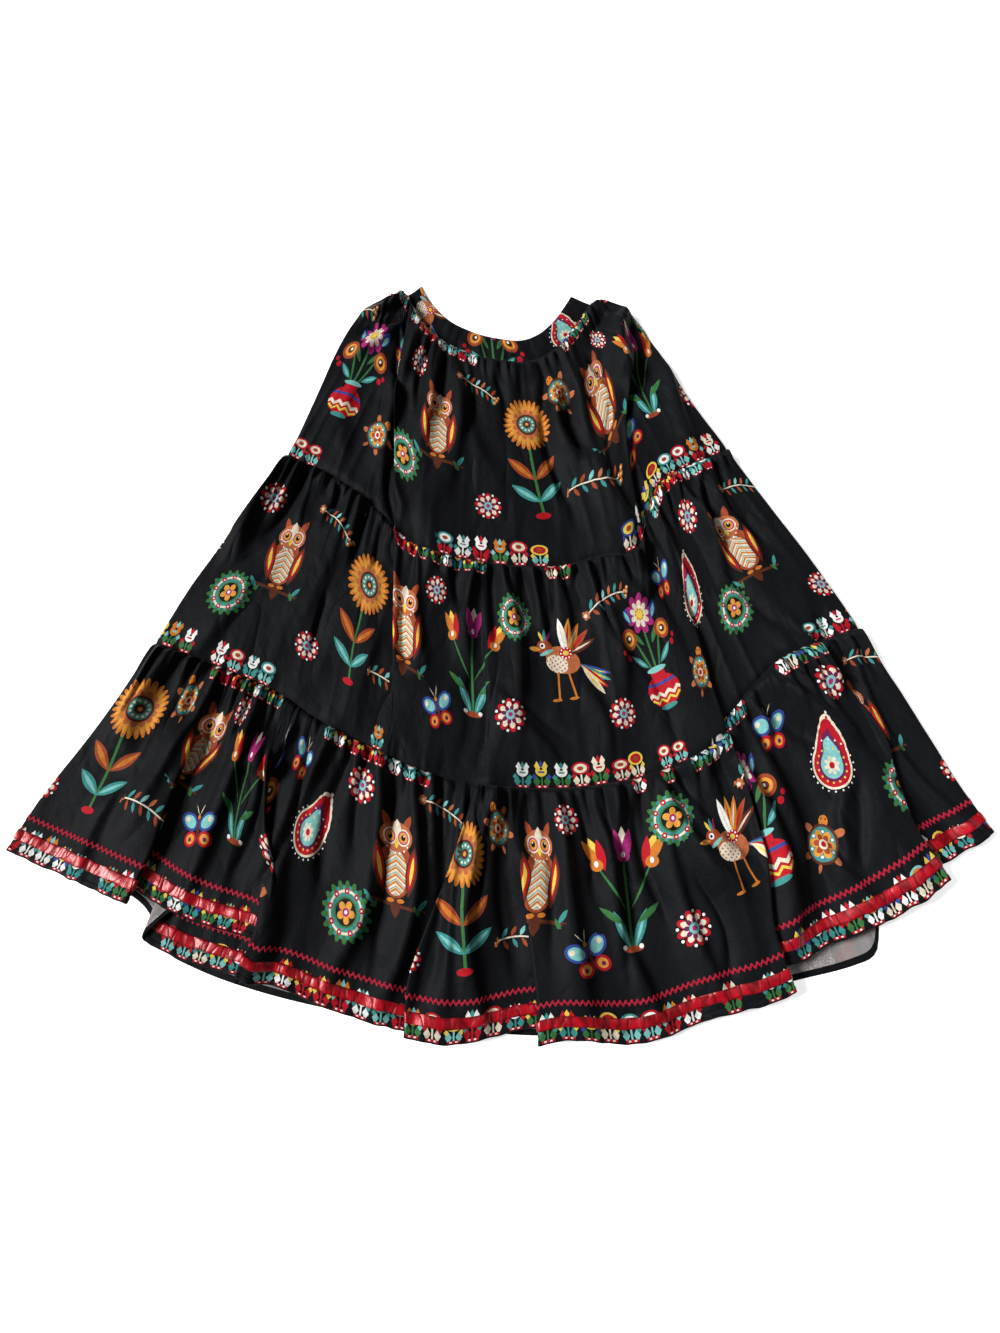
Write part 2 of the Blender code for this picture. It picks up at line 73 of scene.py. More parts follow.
START_ROWS = (0.0, 0.0012, 0.0026, 0.0042, 0.0062, 0.0086)       # rows below a tier's start
SEAM_ROWS = (0.004, 0.0026, 0.0014, 0.0006, 0.0)       # rows of mesh above the edge
HEM_ROWS = (0.0088, 0.0074, 0.0066, 0.006, 0.005, 0.003, 0.0012, 0.0)

FOLD_BEND = 0.1              # how far a fold bows aside, as a share of its length
FOLD_PAST = 0.22             # how far it runs out past its ends, as a share of its length
PUCKER = 0.0022              # height of the finest gathers

RIBBON_WIDTH = 0.0127
RIBBON_CLOTH = 0.0003
RIBBON_CROWN = 0.0006        # how far it swells between its stitched edges
RIBBON_PUCKER = 0.0011
RIBBON_OVER = 0.00018        # how far it lies over the cotton
RIBBON_EDGE = LENGTH - 0.015
RICKRACK_LINE = LENGTH - 0.0435
RICKRACK_PITCH = 0.0066
RICKRACK_SWING = 0.0019
RICKRACK_WIDTH = 0.0044
RICKRACK_HEIGHT = 0.0009
RICKRACK_SECTIONS = 12
RIBBON_ROWS = np.array([0.0, 0.06, 0.22, 0.5, 0.78, 0.94, 1.0])

# Round the braid, from one edge over the top: places to the side and heights, as shares
RING_SIDE = np.array([-1.0, -0.75, 0.0, 0.75, 1.0, 0.6, -0.6])
RING_HEIGHT = np.array([0.15, 0.62, 0.8, 0.62, 0.15, 0.0, 0.0])

# Heights round the rolled sides of the front, and how far in each lies, as shares
ROLL_UP = np.sin(np.linspace(0.0, 0.5 * math.pi, 8))[:-1]
ROLL_IN = 1.0 - np.sqrt(1.0 - ROLL_UP ** 2)

RUCKS = 15                   # the elastic's rucks across the waistband
RUCK = 0.003                 # height of the tallest
RUCK_FINE = 0.0006
CASING_HEIGHT = 0.0022       # of its front over the back, between the rucks
CASING_SWELL = 0.0004
CASING_COLUMNS = {"front": 230, "back": 120}
BAND_ROWS = np.array([
    0.0, 0.01, 0.028, 0.055, 0.09, 0.14, 0.2, 0.27, 0.34, 0.42, 0.5, 0.58, 0.66, 0.73, 0.8,
    0.86, 0.91, 0.95, 0.98, 1.0, 1.0 + SEAM_TUCK / BAND])
BAND_GATHERED = 1.25         # cloth to each length of waistband
BACK_INSET = 0.003
BACK_GATHERED = 1.15
BACK_COLUMNS = {"tier_1": 110, "tier_2": 150, "tier_3": 190}
BACK_CUTS = {"tier_1": (0.1, 0.0), "tier_2": (0.33, 0.0), "tier_3": (0.22, 0.0)}

CAMERA = (-0.0022, -0.3489, 1.0867)
FILM = 36.0                  # taller side of the picture, in the lens's millimetres
FOCAL = 900.0 / 1333.0       # focal length as a share of it

# The side folds: cloth, bearing of the left one, bearing of the right one
SIDES = (
    (-BAND, -17.4, 22.2), (0.0, -20.2, 25.6), (0.015, -23.5, 28.6), (0.04, -26.6, 31.2),
    (0.085, -27.8, 31.9), (0.2, -26.2, 31.0), (0.29, -25.4, 31.1), (0.49, -26.9, 31.2),
    (0.65, -26.9, 30.8), (0.8, -27.8, 30.3), (0.87, -27.8, 30.3),
)

# How far from the pole the cloth starts: bearing, then the reach less the cloth distance
# at the waist seam, first seam, second seam and hem
LAY = (
    (-30.0, 0.317, 0.314, 0.33, 0.333),
    (-24.0, 0.317, 0.316, 0.32, 0.323),
    (-20.0, 0.318, 0.318, 0.319, 0.322),
    (-16.0, 0.342, 0.33, 0.326, 0.322),
    (-12.5, 0.361, 0.349, 0.346, 0.321),
    (-8.0, 0.38, 0.388, 0.368, 0.367),
    (-4.0, 0.391, 0.402, 0.39, 0.39),
    (-1.0, 0.398, 0.406, 0.4, 0.4),
    (3.0, 0.405, 0.414, 0.409, 0.386),
    (8.0, 0.411, 0.42, 0.414, 0.411),
    (12.0, 0.405, 0.418, 0.412, 0.401),
    (16.0, 0.39, 0.421, 0.4, 0.398),
    (18.5, 0.378, 0.385, 0.38, 0.376),
    (21.0, 0.366, 0.345, 0.352, 0.368),
    (24.0, 0.352, 0.335, 0.33, 0.361),
    (28.0, 0.34, 0.336, 0.332, 0.345),
    (33.0, 0.34, 0.34, 0.346, 0.333),
)

# Where the back's hem ends: bearing, reach
BACK_HEM = (
    (-30.0, 1.188), (-21.0, 1.184), (-19.0, 1.194), (-17.4, 1.227), (-15.5, 1.237),
    (-12.0, 1.244), (-2.0, 1.256), (3.0, 1.267), (9.0, 1.268), (13.0, 1.258),
    (16.5, 1.259), (20.0, 1.265), (21.2, 1.26), (22.4, 1.222), (24.5, 1.206), (32.0, 1.188),
)

# Where cloth laps over itself: the side that lies above, the cloth over which it grows, and
# fades again where it does, its overlap, how far it drops the cloth to its right, and the
# path of its edge as cloth and bearing
LAPS = {
    "left_drape": dict(
        top="right", grows=(-0.02, 0.12), fades=(0.33, 0.52), overlap=0.02,
        path=((0.0, -17.6), (0.11, -14.9), (0.29, -9.9), (0.52, -6.8))),
    "shoulder_drape": dict(
        top="left", grows=(0.075, 0.2), fades=(0.24, 0.39), overlap=0.009,
        path=((0.0, 22.0), (0.09, 27.6), (0.145, 23.8), (0.2, 19.6), (0.3, 17.0),
              (0.4, 15.2))),
    "right_drape": dict(
        top="left", grows=(0.33, 0.8), overlap=0.034, drop=-0.028,
        path=((0.29, 20.6), (0.39, 19.3), (0.56, 17.9), (0.72, 17.3), (0.8, 16.2),
              (0.87, 16.2))),
    "centre_pleat": dict(
        top="right", grows=(0.29, 0.8), overlap=0.014, drop=0.005,
        path=((0.29, -0.2), (0.5, 0.3), (0.6, -0.7), (0.8, -3.8), (0.87, -3.8))),
    "far_right_fold": dict(
        top="left", grows=(0.5, 0.8), overlap=0.016, drop=-0.018,
        path=((0.5, 26.5), (0.62, 27.4), (0.72, 27.5), (0.8, 26.3), (0.87, 26.3))),
    "wing_tuck": dict(
        top="left", grows=(0.625, 0.8), overlap=0.012, drop=-0.017,
        path=((0.58, -20.0), (0.68, -20.3), (0.8, -19.7), (0.87, -19.7))),
    "wing_fold": dict(
        top="left", grows=(0.61, 0.8), overlap=0.115, drop=0.044,
        path=((0.58, -14.8), (0.68, -14.6), (0.74, -13.6), (0.8, -12.1), (0.87, -12.1))),
    "wing_ridge": dict(
        top="right", grows=(0.69, 0.85), overlap=0.009, radius=0.0019, over="wing_fold",
        path=((0.58, -14.2), (0.69, -13.9), (0.74, -13.2), (0.8, -12.5), (0.87, -12.8))),
    "hem_pleat": dict(
        top="right", grows=(0.64, 0.8), overlap=0.014, drop=0.018,
        path=((0.58, 1.9), (0.8, 2.9), (0.87, 2.9))),
}
PAST_HEM = (1.0, 1.1)        # where the laps that never fade would do so
LAP_RADIUS = 0.003           # of the rounded edges of a lap
LAP_TURNED = 0.35            # share of its growth at which a lap has turned right over
LAP_FADE = 0.35              # share of its radius with which it starts
LAP_TURN_STEPS = 7
LAP_STEP = 0.0003            # least length of a step inside a lap
LAP_LEVEL = 0.004            # how far the cloth on top of a lap stays level
LAP_RAMP = 0.085             # and over what distance it comes down after that
DROP_TAKEN = 0.03            # length of cloth over which a lap's drop is taken
DROP_SPREAD = 0.06           # distance in which the drop dies away beyond the lap
TALL = 0.028                 # heights past this are eased off, and none passes it by TALLER
TALLER = 0.009
CLIMB = 0.0125               # how far a ridge stands up where it crosses another lap
CLIMB_RUN = 0.022
DRAWN_UP = 0.05              # most cloth that is gathered beside a lap that has yet to open
DRAWN_SPREAD = 0.075

# Heights of the cloth between its folds
FLOAT = 0.0076               # how high the front lies over the back on average
BILLOW = 0.0026              # broad soft waves
DIMPLE = 0.00035             # the smallest waves
SOFT_FLOOR = 0.0000045       # how softly the troughs stop at the back, in square metres
SEAM_PRESS = 0.45            # share of the height that a seam presses down
SEAM_TUG = 0.0007            # small tugs of the stitches, fading over SEAM_TUG_RUN
SEAM_TUG_RUN = 0.022
HEM_SWAY = 0.06              # how far above the hem its own waves start
HEM_RIPPLE = 0.0024
HEM_WANDER = 0.0012          # how far the hem strays up and down the skirt
HEM_WANDER_FINE = 0.0007
WIDE_STREAK = (0.021, 0.17)  # across and down the cloth
NARROW_STREAK = (0.0085, 0.09)

# Each front tier: its cloth, the pitch of its columns and the rows of its mesh, its laps, and
# the number, height and length of the gathers under its seam
TIERS = (
    dict(name="tier_1", top=0.0, bottom=TIER, pitch=0.0021, rows=72,
         laps=("left_drape", "shoulder_drape"), gathers=27, lift=0.007, fade=0.06),
    dict(name="tier_2", top=TIER, bottom=2 * TIER, pitch=0.0024, rows=72,
         laps=("left_drape", "centre_pleat", "shoulder_drape", "right_drape", "far_right_fold"),
         gathers=37, lift=0.01, fade=0.07),
    dict(name="tier_3", top=2 * TIER, bottom=LENGTH, pitch=0.003, rows=67,
         laps=("wing_tuck", "wing_fold", "wing_ridge", "centre_pleat", "hem_pleat",
               "right_drape", "far_right_fold"),
         gathers=49, lift=0.0115, fade=0.085),
)

# Folds of the lay: bearing and cloth of one end, of the other end, then half width and
# height in millimetres, a trough where it is below zero
FOLDS = (
    (-17.2, 0.02, -16.0, 0.1, 12, -5), (-16.0, 0.1, -12.6, 0.2, 10, -6),
    (-12.6, 0.2, -9.6, 0.285, 9, -6), (-14.0, 0.03, -14.3, 0.13, 12, 4),
    (-14.3, 0.13, -9.0, 0.27, 12, 4), (-20.0, 0.012, -26.3, 0.06, 7, 4),
    (-18.5, 0.03, -25.5, 0.085, 6, -3), (-18.2, 0.045, -24.0, 0.12, 10, 3),
    (-10.6, 0.02, -10.2, 0.12, 7, -3), (-9.2, 0.015, -8.6, 0.16, 9, 3),
    (-7.6, 0.02, -7.0, 0.1, 6, -2.5), (-5.8, 0.02, -4.6, 0.2, 12, 2.5),
    (-3.6, 0.03, -2.8, 0.13, 7, -2), (-3.0, 0.03, 1.2, 0.17, 14, 2.5),
    (2.2, 0.03, 3.2, 0.11, 8, -2), (6.4, 0.03, 5.4, 0.09, 18, -2.5),
    (10.6, 0.03, 10.4, 0.22, 7, -4), (12.2, 0.06, 12.4, 0.15, 9, 4),
    (13.9, 0.06, 13.8, 0.15, 11, -6), (16.5, 0.05, 16.0, 0.25, 16, 3),
    (19.6, 0.06, 20.2, 0.16, 10, -4), (20.5, 0.14, 17.6, 0.27, 12, -6),
    (17.6, 0.27, 17.0, 0.34, 10, -6), (30.6, 0.045, 24.5, 0.125, 14, 6),
    (31.3, 0.095, 25.5, 0.165, 12, -4), (30.8, 0.15, 27.2, 0.27, 12, 3),
    (21.0, 0.05, 28.0, 0.03, 7, -2.5), (-21.5, 0.16, -19.0, 0.26, 22, 2),
    (-25.2, 0.3, -24.6, 0.44, 14, 5), (-22.6, 0.295, -22.9, 0.4, 10, -5),
    (-20.3, 0.3, -20.4, 0.37, 14, 3), (-18.0, 0.295, -17.6, 0.35, 6, -3),
    (-15.5, 0.3, -16.5, 0.5, 20, 2.5), (-13.3, 0.295, -13.4, 0.37, 6, -3),
    (-11.6, 0.3, -11.2, 0.36, 5, -2.5), (-8.9, 0.27, -7.6, 0.37, 12, -6),
    (-7.6, 0.37, -6.4, 0.46, 9, -4), (-6.6, 0.31, -5.0, 0.45, 12, 3),
    (-2.6, 0.295, -2.2, 0.36, 8, -4), (0.9, 0.295, 1.2, 0.4, 8, -4),
    (-0.8, 0.3, -1.2, 0.43, 10, 4), (-0.9, 0.46, -1.6, 0.58, 15, -8), (2.2, 0.31, 2.6, 0.5, 12, 3),
    (3.4, 0.295, 3.6, 0.37, 10, -5), (5.8, 0.295, 6.0, 0.38, 6, -4),
    (7.8, 0.295, 8.2, 0.4, 9, -4), (9.6, 0.295, 9.5, 0.35, 6, -2),
    (10.5, 0.31, 10.8, 0.5, 13, 3), (11.6, 0.3, 11.9, 0.4, 6, -3),
    (14.3, 0.295, 14.6, 0.34, 6, -3), (16.6, 0.3, 17.8, 0.52, 14, -5),
    (20.8, 0.33, 20.6, 0.45, 16, -5), (22.9, 0.3, 23.4, 0.44, 10, 4),
    (26.2, 0.31, 24.3, 0.41, 6, 3), (25.8, 0.32, 24.9, 0.38, 4, -2.5),
    (27.3, 0.3, 27.0, 0.45, 10, 3), (28.6, 0.3, 28.3, 0.42, 8, -4),
    (1.6, 0.46, 6.2, 0.52, 6, -1.6), (1.4, 0.49, 5.6, 0.555, 8, 1.8),
    (23.8, 0.45, 25.8, 0.55, 9, -2.5), (-15.0, 0.44, -14.6, 0.51, 5, -2),
    (12.6, 0.42, 14.0, 0.56, 9, -2), (8.6, 0.46, 8.9, 0.56, 14, 2.5),
    (-9.4, 0.44, -9.8, 0.57, 16, 2), (-22.0, 0.46, -23.4, 0.57, 16, 2.5),
    (-25.6, 0.585, -24.5, 0.72, 20, 4), (-22.2, 0.585, -21.6, 0.66, 8, -3),
    (-20.9, 0.6, -21.5, 0.78, 12, 3), (-20.4, 0.6, -19.2, 0.8, 13, -6),
    (-17.0, 0.6, -16.9, 0.82, 11, 4), (-15.3, 0.66, -14.8, 0.8, 7, -4),
    (-12.7, 0.62, -12.9, 0.8, 7, -4), (-9.7, 0.61, -9.8, 0.76, 7, -4),
    (-13.9, 0.6, -13.8, 0.74, 6, 3), (-11.2, 0.6, -11.6, 0.85, 14, 4), (-8.3, 0.59, -8.2, 0.7, 6, -3),
    (-7.2, 0.6, -8.0, 0.85, 12, 4), (-6.1, 0.59, -5.9, 0.8, 8, -4),
    (-4.8, 0.6, -5.2, 0.86, 10, 4), (-2.9, 0.59, -3.4, 0.85, 13, -6),
    (-1.2, 0.6, -1.9, 0.82, 10, 4), (-0.3, 0.62, -0.5, 0.73, 5, -3),
    (0.7, 0.6, 0.2, 0.86, 12, 4), (1.7, 0.6, 1.8, 0.79, 10, -5),
    (3.1, 0.59, 3.3, 0.67, 7, -4), (5.4, 0.61, 5.6, 0.86, 14, 4),
    (6.6, 0.6, 6.7, 0.7, 6, -3.5), (4.0, 0.62, 3.9, 0.78, 9, -3),
    (7.9, 0.6, 8.0, 0.79, 8, -5), (9.2, 0.6, 9.3, 0.86, 11, 4),
    (10.4, 0.6, 10.6, 0.74, 8, -4), (12.4, 0.6, 12.6, 0.86, 12, 3.5),
    (12.9, 0.72, 13.2, 0.83, 6, -3), (13.5, 0.592, 16.2, 0.705, 8, -7),
    (12.4, 0.6, 15.0, 0.74, 11, 5), (16.3, 0.595, 16.4, 0.71, 9, -7),
    (17.9, 0.62, 16.7, 0.84, 13, 5.5), (20.0, 0.6, 19.2, 0.83, 15, -8),
    (20.9, 0.6, 21.8, 0.84, 15, 5), (20.8, 0.585, 23.8, 0.68, 10, -3.5),
    (22.6, 0.585, 25.8, 0.69, 12, 4), (24.4, 0.585, 27.0, 0.7, 8, -3.5),
    (28.6, 0.58, 28.0, 0.83, 14, -8), (26.6, 0.6, 26.9, 0.76, 10, 4),
    (22.6, 0.8, 24.6, 0.735, 7, -3), (21.9, 0.79, 23.9, 0.725, 8, 3),
    (29.4, 0.6, 29.5, 0.86, 10, 3), (-23.6, 0.76, -23.2, 0.87, 16, 3),
)


def ease(t):
    """0 to 1 with soft ends."""
    t = np.clip(t, 0.0, 1.0)
    return t * t * (3.0 - 2.0 * t)


def lerp(a, b, t):
    return a + (b - a) * t


def wave(turns):
    """1 to 0 and back once in each turn."""
    return 0.5 + 0.5 * np.cos(TURN * turns)


def read_table(rows, x, column):
    """A smooth curve through one column of a table whose first column is sorted."""
    xs = np.array([row[0] for row in rows])
    ys = np.array([row[column] for row in rows])
    low = np.maximum(np.arange(len(xs)) - 1, 0)
    high = np.minimum(np.arange(len(xs)) + 1, len(xs) - 1)
    slope = (ys[high] - ys[low]) / (xs[high] - xs[low])
    x = np.clip(x, xs[0], xs[-1])
    i = np.clip(np.searchsorted(xs, x, side="right") - 1, 0, len(xs) - 2)
    width = xs[i + 1] - xs[i]
    t = (x - xs[i]) / width
    return ((2 * t**3 - 3 * t**2 + 1) * ys[i] + (t**3 - 2 * t**2 + t) * slope[i] * width
            + (3 * t**2 - 2 * t**3) * ys[i + 1] + (t**3 - t**2) * slope[i + 1] * width)


# The lay
def start_of_cloth(bearing, cloth):
    level = np.clip(cloth / TIER, 0.0, 3.0)
    columns = [read_table(LAY, bearing, 1 + k) for k in range(4)]
    upper = np.minimum(2, np.floor(level)).astype(int)
    return lerp(np.choose(upper, columns[:3]), np.choose(upper, columns[1:]), level - upper)


def reach_of(bearing, cloth):
    return cloth + start_of_cloth(bearing, cloth)


def plan(bearing, reach):
    angle = np.radians(bearing)
    return POLE[0] + reach * np.sin(angle), POLE[1] - reach * np.cos(angle)


def lies_at(bearing, cloth):
    """Where a point of the cloth lies on the surface."""
    return plan(bearing, reach_of(bearing, cloth))


def sides_at(cloth, inset=0.0):
    """Bearings of the two sides, and that of an inset from them."""
    left, right = float(read_table(SIDES, cloth, 1)), float(read_table(SIDES, cloth, 2))
    return left, right, math.degrees(inset / reach_of(0.0, cloth))


def lattice(i, j, seed):
    """A fixed uneven number from 0 to 1 for each point of a lattice."""
    value = np.sin(i * 127.1 + j * 311.7 + seed * 74.7) * 43758.5453
    return value - np.floor(value)


def drift(x, y, seed):
    """A number from -1 to 1 that wanders smoothly, once over each unit of x and y."""
    i, j = np.floor(x), np.floor(y)
    t, u = ease(x - i), ease(y - j)
    low = lerp(lattice(i, j, seed), lattice(i + 1, j, seed), t)
    high = lerp(lattice(i, j + 1, seed), lattice(i + 1, j + 1, seed), t)
    return 2.0 * lerp(low, high, u) - 1.0


def patchy(x, y, seed):
    """Drift from 0 to 1."""
    return 0.5 + 0.5 * drift(x, y, seed)


def rough(x, y, seed):
    """Drift with a finer drift on it."""
    return (drift(x, y, seed) + 0.5 * drift(2.1 * x + 7.3, 2.1 * y + 1.9, seed + 1.0)) / 1.3


def fold_heights(bearing, cloth):
    """Height of the listed folds at each point: round ridges and sharper troughs."""
    x, y = lies_at(bearing, cloth)
    total = np.zeros_like(x)
    for b0, c0, b1, c1, width, height in FOLDS:
        (x0, y0), (x1, y1) = lies_at(b0, c0), lies_at(b1, c1)
        run = math.hypot(x1 - x0, y1 - y0)
        ex, ey = (x1 - x0) / run, (y1 - y0) / run
        along = ((x - x0) * ex + (y - y0) * ey) / run
        within = np.clip(along, 0.0, 1.0)
        bend = FOLD_BEND * run * np.sin(math.pi * within) * math.sin(37.0 * b0 + 90.0 * c0)
        beside = (x - x0) * -ey + (y - y0) * ex - bend
        half = width * 0.001 * (0.75 + 0.5 * within)
        half = half * (1.0 - math.copysign(FOLD_SKEW, height) * np.tanh(4.0 * beside / half))
        half = half * (1.25 if height < 0 else 1.0)
        ends = ease((along + FOLD_PAST) / 0.4) * ease((1.0 + FOLD_PAST - along) / 0.5)
        aside = (beside / half) ** 2
        profile = np.exp(-aside) if height > 0 else (1.0 + 1.6 * aside) ** -1.5
        total += FOLD_DEPTH * height * 0.001 * ends * profile
    return total


def lean_wave(turns, crest):
    """A wave in each turn that rises to its crest and falls away more steeply after it."""
    t = turns - np.floor(turns)
    return np.where(t < crest, ease(t / crest), 1.0 - ease((t - crest) / (1.0 - crest)))


def gather_heights(tier, bearing, cloth):
    """The gathers under a seam: broad ones that open into folds, and puckers between."""
    down = cloth - tier["top"]
    left, right, _ = sides_at(tier["top"] + 0.02)
    turns = tier["gathers"] * (bearing - left) / (right - left)
    stray = 0.34 * drift(0.8 * turns, 0.0, 11.0) + 0.5 * drift(0.23 * turns, 0.0, 12.0)
    lean = 0.55 * drift(0.9 * turns, 5.0, 13.0) * down / tier["fade"]
    length = tier["fade"] * (0.35 + 1.5 * patchy(1.1 * turns, 0.0, 14.0) ** 2)
    swell = ease((down + 0.0015) / 0.0065) * (1.0 - ease((down - 0.006) / length))
    height = lerp(0.35, 1.0, patchy(0.7 * turns, 0.0, 15.0))
    broad = lean_wave(turns + stray + lean, 0.66) ** 0.8
    puckers = lean_wave(2.7 * turns + 0.8 * drift(1.9 * turns, 0.0, 16.0), 0.6)
    fine = puckers * ease((down + 0.002) / 0.004) * (1.0 - ease(down / (0.014 + 0.4 * length)))
    return tier["lift"] * height * swell * broad + PUCKER * fine


def streaks(bearing, cloth):
    """Long soft creases that run down the cloth, wide ones in places and narrow between."""
    across = np.radians(bearing) * MIDDLE_REACH
    turns = across / WIDE_STREAK[0]
    wide = 1.0 - np.abs(drift(turns, cloth / WIDE_STREAK[1] + 0.2 * turns, 21.0))
    narrow = 1.0 - np.abs(drift(across / NARROW_STREAK[0], cloth / NARROW_STREAK[1], 22.0))
    where = patchy(across / 0.07, cloth / 0.1, 23.0)
    return STREAK * where * wide ** 2 + FINE_STREAK * (1.0 - where) * narrow ** 2


def cloth_lift(tier, bearing, cloth, drop):
    """Height of a single layer of a front tier above the back. Its folds are those of the
    place where it lies, so the layers of a lap rise and fall together."""
    lies = cloth + drop
    x, y = lies_at(bearing, lies)
    flow = FLOAT + BILLOW * rough(x / 0.12, y / 0.16, 1.0)
    flow = flow + fold_heights(bearing, lies) + streaks(bearing, lies)
    flow = 0.5 * (flow + np.sqrt(flow * flow + SOFT_FLOOR))
    small = DIMPLE * rough(x / 0.016, y / 0.022, 2.0)
    to_seam = tier["bottom"] - cloth if tier["bottom"] < LENGTH else 1.0
    nearest = max(0.0, min(cloth - tier["top"], to_seam))
    press = 1.0 - SEAM_PRESS * math.exp(-(nearest / SEAM_DIP) ** 2)
    tug = SEAM_TUG * drift(np.radians(bearing) * 130.0, cloth * 20.0, 3.0)
    tug = tug * (1.0 - ease(to_seam / SEAM_TUG_RUN))
    return BACK_TOP + CLEAR + (flow + small) * press + tug + gather_heights(tier, bearing, cloth)


# Laps
def lap_fullness(lap, cloth):
    def passed(start, end):
        return float(ease((cloth - start) / (end - start)))
    return passed(*lap["grows"]) * (1.0 - passed(*lap.get("fades", PAST_HEM)))


def lap_edge(lap, cloth):
    return float(read_table(lap["path"], cloth, 1))


def lap_section(lap, cloth, run_steps):
    """Bearings and heights across a lap, left to right, and the share of its drop that each
    point has taken, which is all at the tucked turn."""
    fullness = lap_fullness(lap, cloth)
    turned = min(1.0, fullness / LAP_TURNED)
    turn = math.pi * turned
    run = lap["overlap"] * max(0.0, (fullness - LAP_TURNED) / (1.0 - LAP_TURNED))
    bend = lap.get("radius", LAP_RADIUS) * lerp(LAP_FADE, 1.0, turned) * math.pi / LAP_TURN_STEPS
    turning = turn * (np.arange(LAP_TURN_STEPS) + 0.5) / LAP_TURN_STEPS
    headings = np.concatenate([turning, np.full(run_steps, turn), turning[::-1]])
    lengths = np.full(len(headings), bend)
    lengths[LAP_TURN_STEPS:LAP_TURN_STEPS + run_steps] = run / run_steps + LAP_STEP
    steps = (lengths, lengths * np.cos(headings), lengths * np.sin(headings))
    along, x, z = (np.concatenate([[0.0], np.cumsum(step)]) for step in steps)
    share = ease(along / min(DROP_TAKEN, along[-1]))
    x = x - x[len(x) // 2:].min()
    if lap["top"] == "left":
        x, z, share = -x[::-1], z[::-1], 1.0 - share[::-1]
    edge = lap_edge(lap, cloth)
    return edge + np.degrees(x / reach_of(edge, cloth)), z, share


def row_cloths(tier):
    """Where the rows of a tier lie, close together beside its seam or hem."""
    hem = tier["bottom"] == LENGTH
    last = tier["bottom"] + (0.0 if hem else SEAM_TUCK)
    edge = HEM_ROWS if hem else SEAM_ROWS
    start = tier["top"] + np.array(START_ROWS)
    even = tier["rows"] - len(edge) - len(start)
    return np.concatenate([
        start, np.linspace(start[-1] + 0.003, last - edge[0] - 0.003, even), last - np.array(edge)])


def stretches(cloth, sections):
    """Where the plain stretches of a row start and end, between its sides and its laps."""
    left, right, roll = sides_at(cloth, SIDE_ROLL)
    starts = [left + roll] + [places[-1] for places, _, _ in sections]
    ends = [places[0] for places, _, _ in sections] + [right - roll]
    return list(zip(starts, ends))


def row_points(cloth, sections, counts):
    """Across one row: bearings, the share of its height that each point keeps at the rounded
    sides, its owner, and its height within a lap."""
    left, right, roll = sides_at(cloth, SIDE_ROLL)
    groups = [(left + roll * ROLL_IN, ROLL_UP, 0, 0.0)]
    for n, ((start, end), count) in enumerate(zip(stretches(cloth, sections), counts)):
        groups.append((start + (end - start) * (np.arange(count) + 0.5) / count, 1.0, n, 0.0))
        if n < len(sections):
            groups.append((sections[n][0], 1.0, -1 - n, sections[n][1]))
    groups.append(((right - roll * ROLL_IN)[::-1], ROLL_UP[::-1], len(sections), 0.0))
    return [np.concatenate([np.zeros(len(group[0])) + group[k] for group in groups])
            for k in range(4)]


def lap_effect(lap, section, cloth, bearing, own, beyond):
    """How far a lap raises the points of a row, and how far it drops them down the skirt. Own
    are the points inside it, and beyond are those to its right."""
    places, heights, share = section
    reach = reach_of(bearing, cloth)

    def right_of(place):
        return np.radians(bearing - place) * reach

    if lap["top"] == "right":
        raised, away = beyond, right_of(places.max())
    else:
        raised, away = ~beyond & ~own, -right_of(places.min())
    rise = np.where(raised, heights.max() * (1.0 - ease((away - LAP_LEVEL) / LAP_RAMP)), 0.0)
    fullness = lap_fullness(lap, cloth)
    taken = beyond.astype(float)
    taken[own] = share
    past = np.maximum(0.0, right_of(lap_edge(lap, cloth)))
    drop = lap.get("drop", 0.0) * fullness * np.exp(-past / DROP_SPREAD) * taken
    if "over" in lap:
        crossed = right_of(lap_edge(LAPS[lap["over"]], cloth))
        climb = CLIMB * fullness * (1.0 - ease((crossed + 0.001) / CLIMB_RUN))
        rise = rise + np.where(own | beyond, climb, 0.0)
    return rise, drop


def front_rows(tier):
    """Grids of bearing, reach and lift over a front tier, the cloth of each row, and the owner
    of each column: the number of a plain stretch, or -1 less the number of a lap."""
    cloths = row_cloths(tier)
    laps = [LAPS[name] for name in tier["laps"]]
    steps = [max(2, round(lap["overlap"] / tier["pitch"])) for lap in laps]
    rows = [[lap_section(lap, cloth, count) for lap, count in zip(laps, steps)] for cloth in cloths]
    finest = math.degrees(tier["pitch"] / reach_of(0.0, cloths[-1]))
    counts = [max(6, round((end - start) / finest)) for start, end in stretches(cloths[-1], rows[-1])]
    bearings, reaches, lifts = [], [], []
    for cloth, sections in zip(cloths, rows):
        bearing, rise, owner, lift = row_points(cloth, sections, counts)
        drop = np.zeros_like(bearing)
        for n, (lap, section) in enumerate(zip(laps, sections)):
            own = owner == -1 - n
            beyond = np.where(owner >= 0, owner > n, -1 - owner > n) & ~own
            raised, dropped = lap_effect(lap, section, cloth, bearing, own, beyond)
            lift += raised
            drop += dropped
        lift += cloth_lift(tier, bearing, cloth, drop)
        if tier["bottom"] == LENGTH:
            near = ease((cloth - LENGTH + HEM_SWAY) / HEM_SWAY)
            lift += near * HEM_RIPPLE * (0.5 + 0.5 * rough(1.7 * bearing, 0.0, 34.0))
            drop += near * HEM_WANDER * rough(1.1 * bearing, 0.0, 31.0)
            drop += near * HEM_WANDER_FINE * drift(2.3 * bearing, 0.0, 33.0)
        eased = TALL + TALLER * np.tanh((lift - TALL) / TALLER)
        bearings.append(bearing)
        reaches.append(reach_of(bearing, cloth) + drop)
        lifts.append(np.where(lift > TALL, eased, lift) * rise)
    return np.array(bearings), np.array(reaches), np.array(lifts), cloths, owner


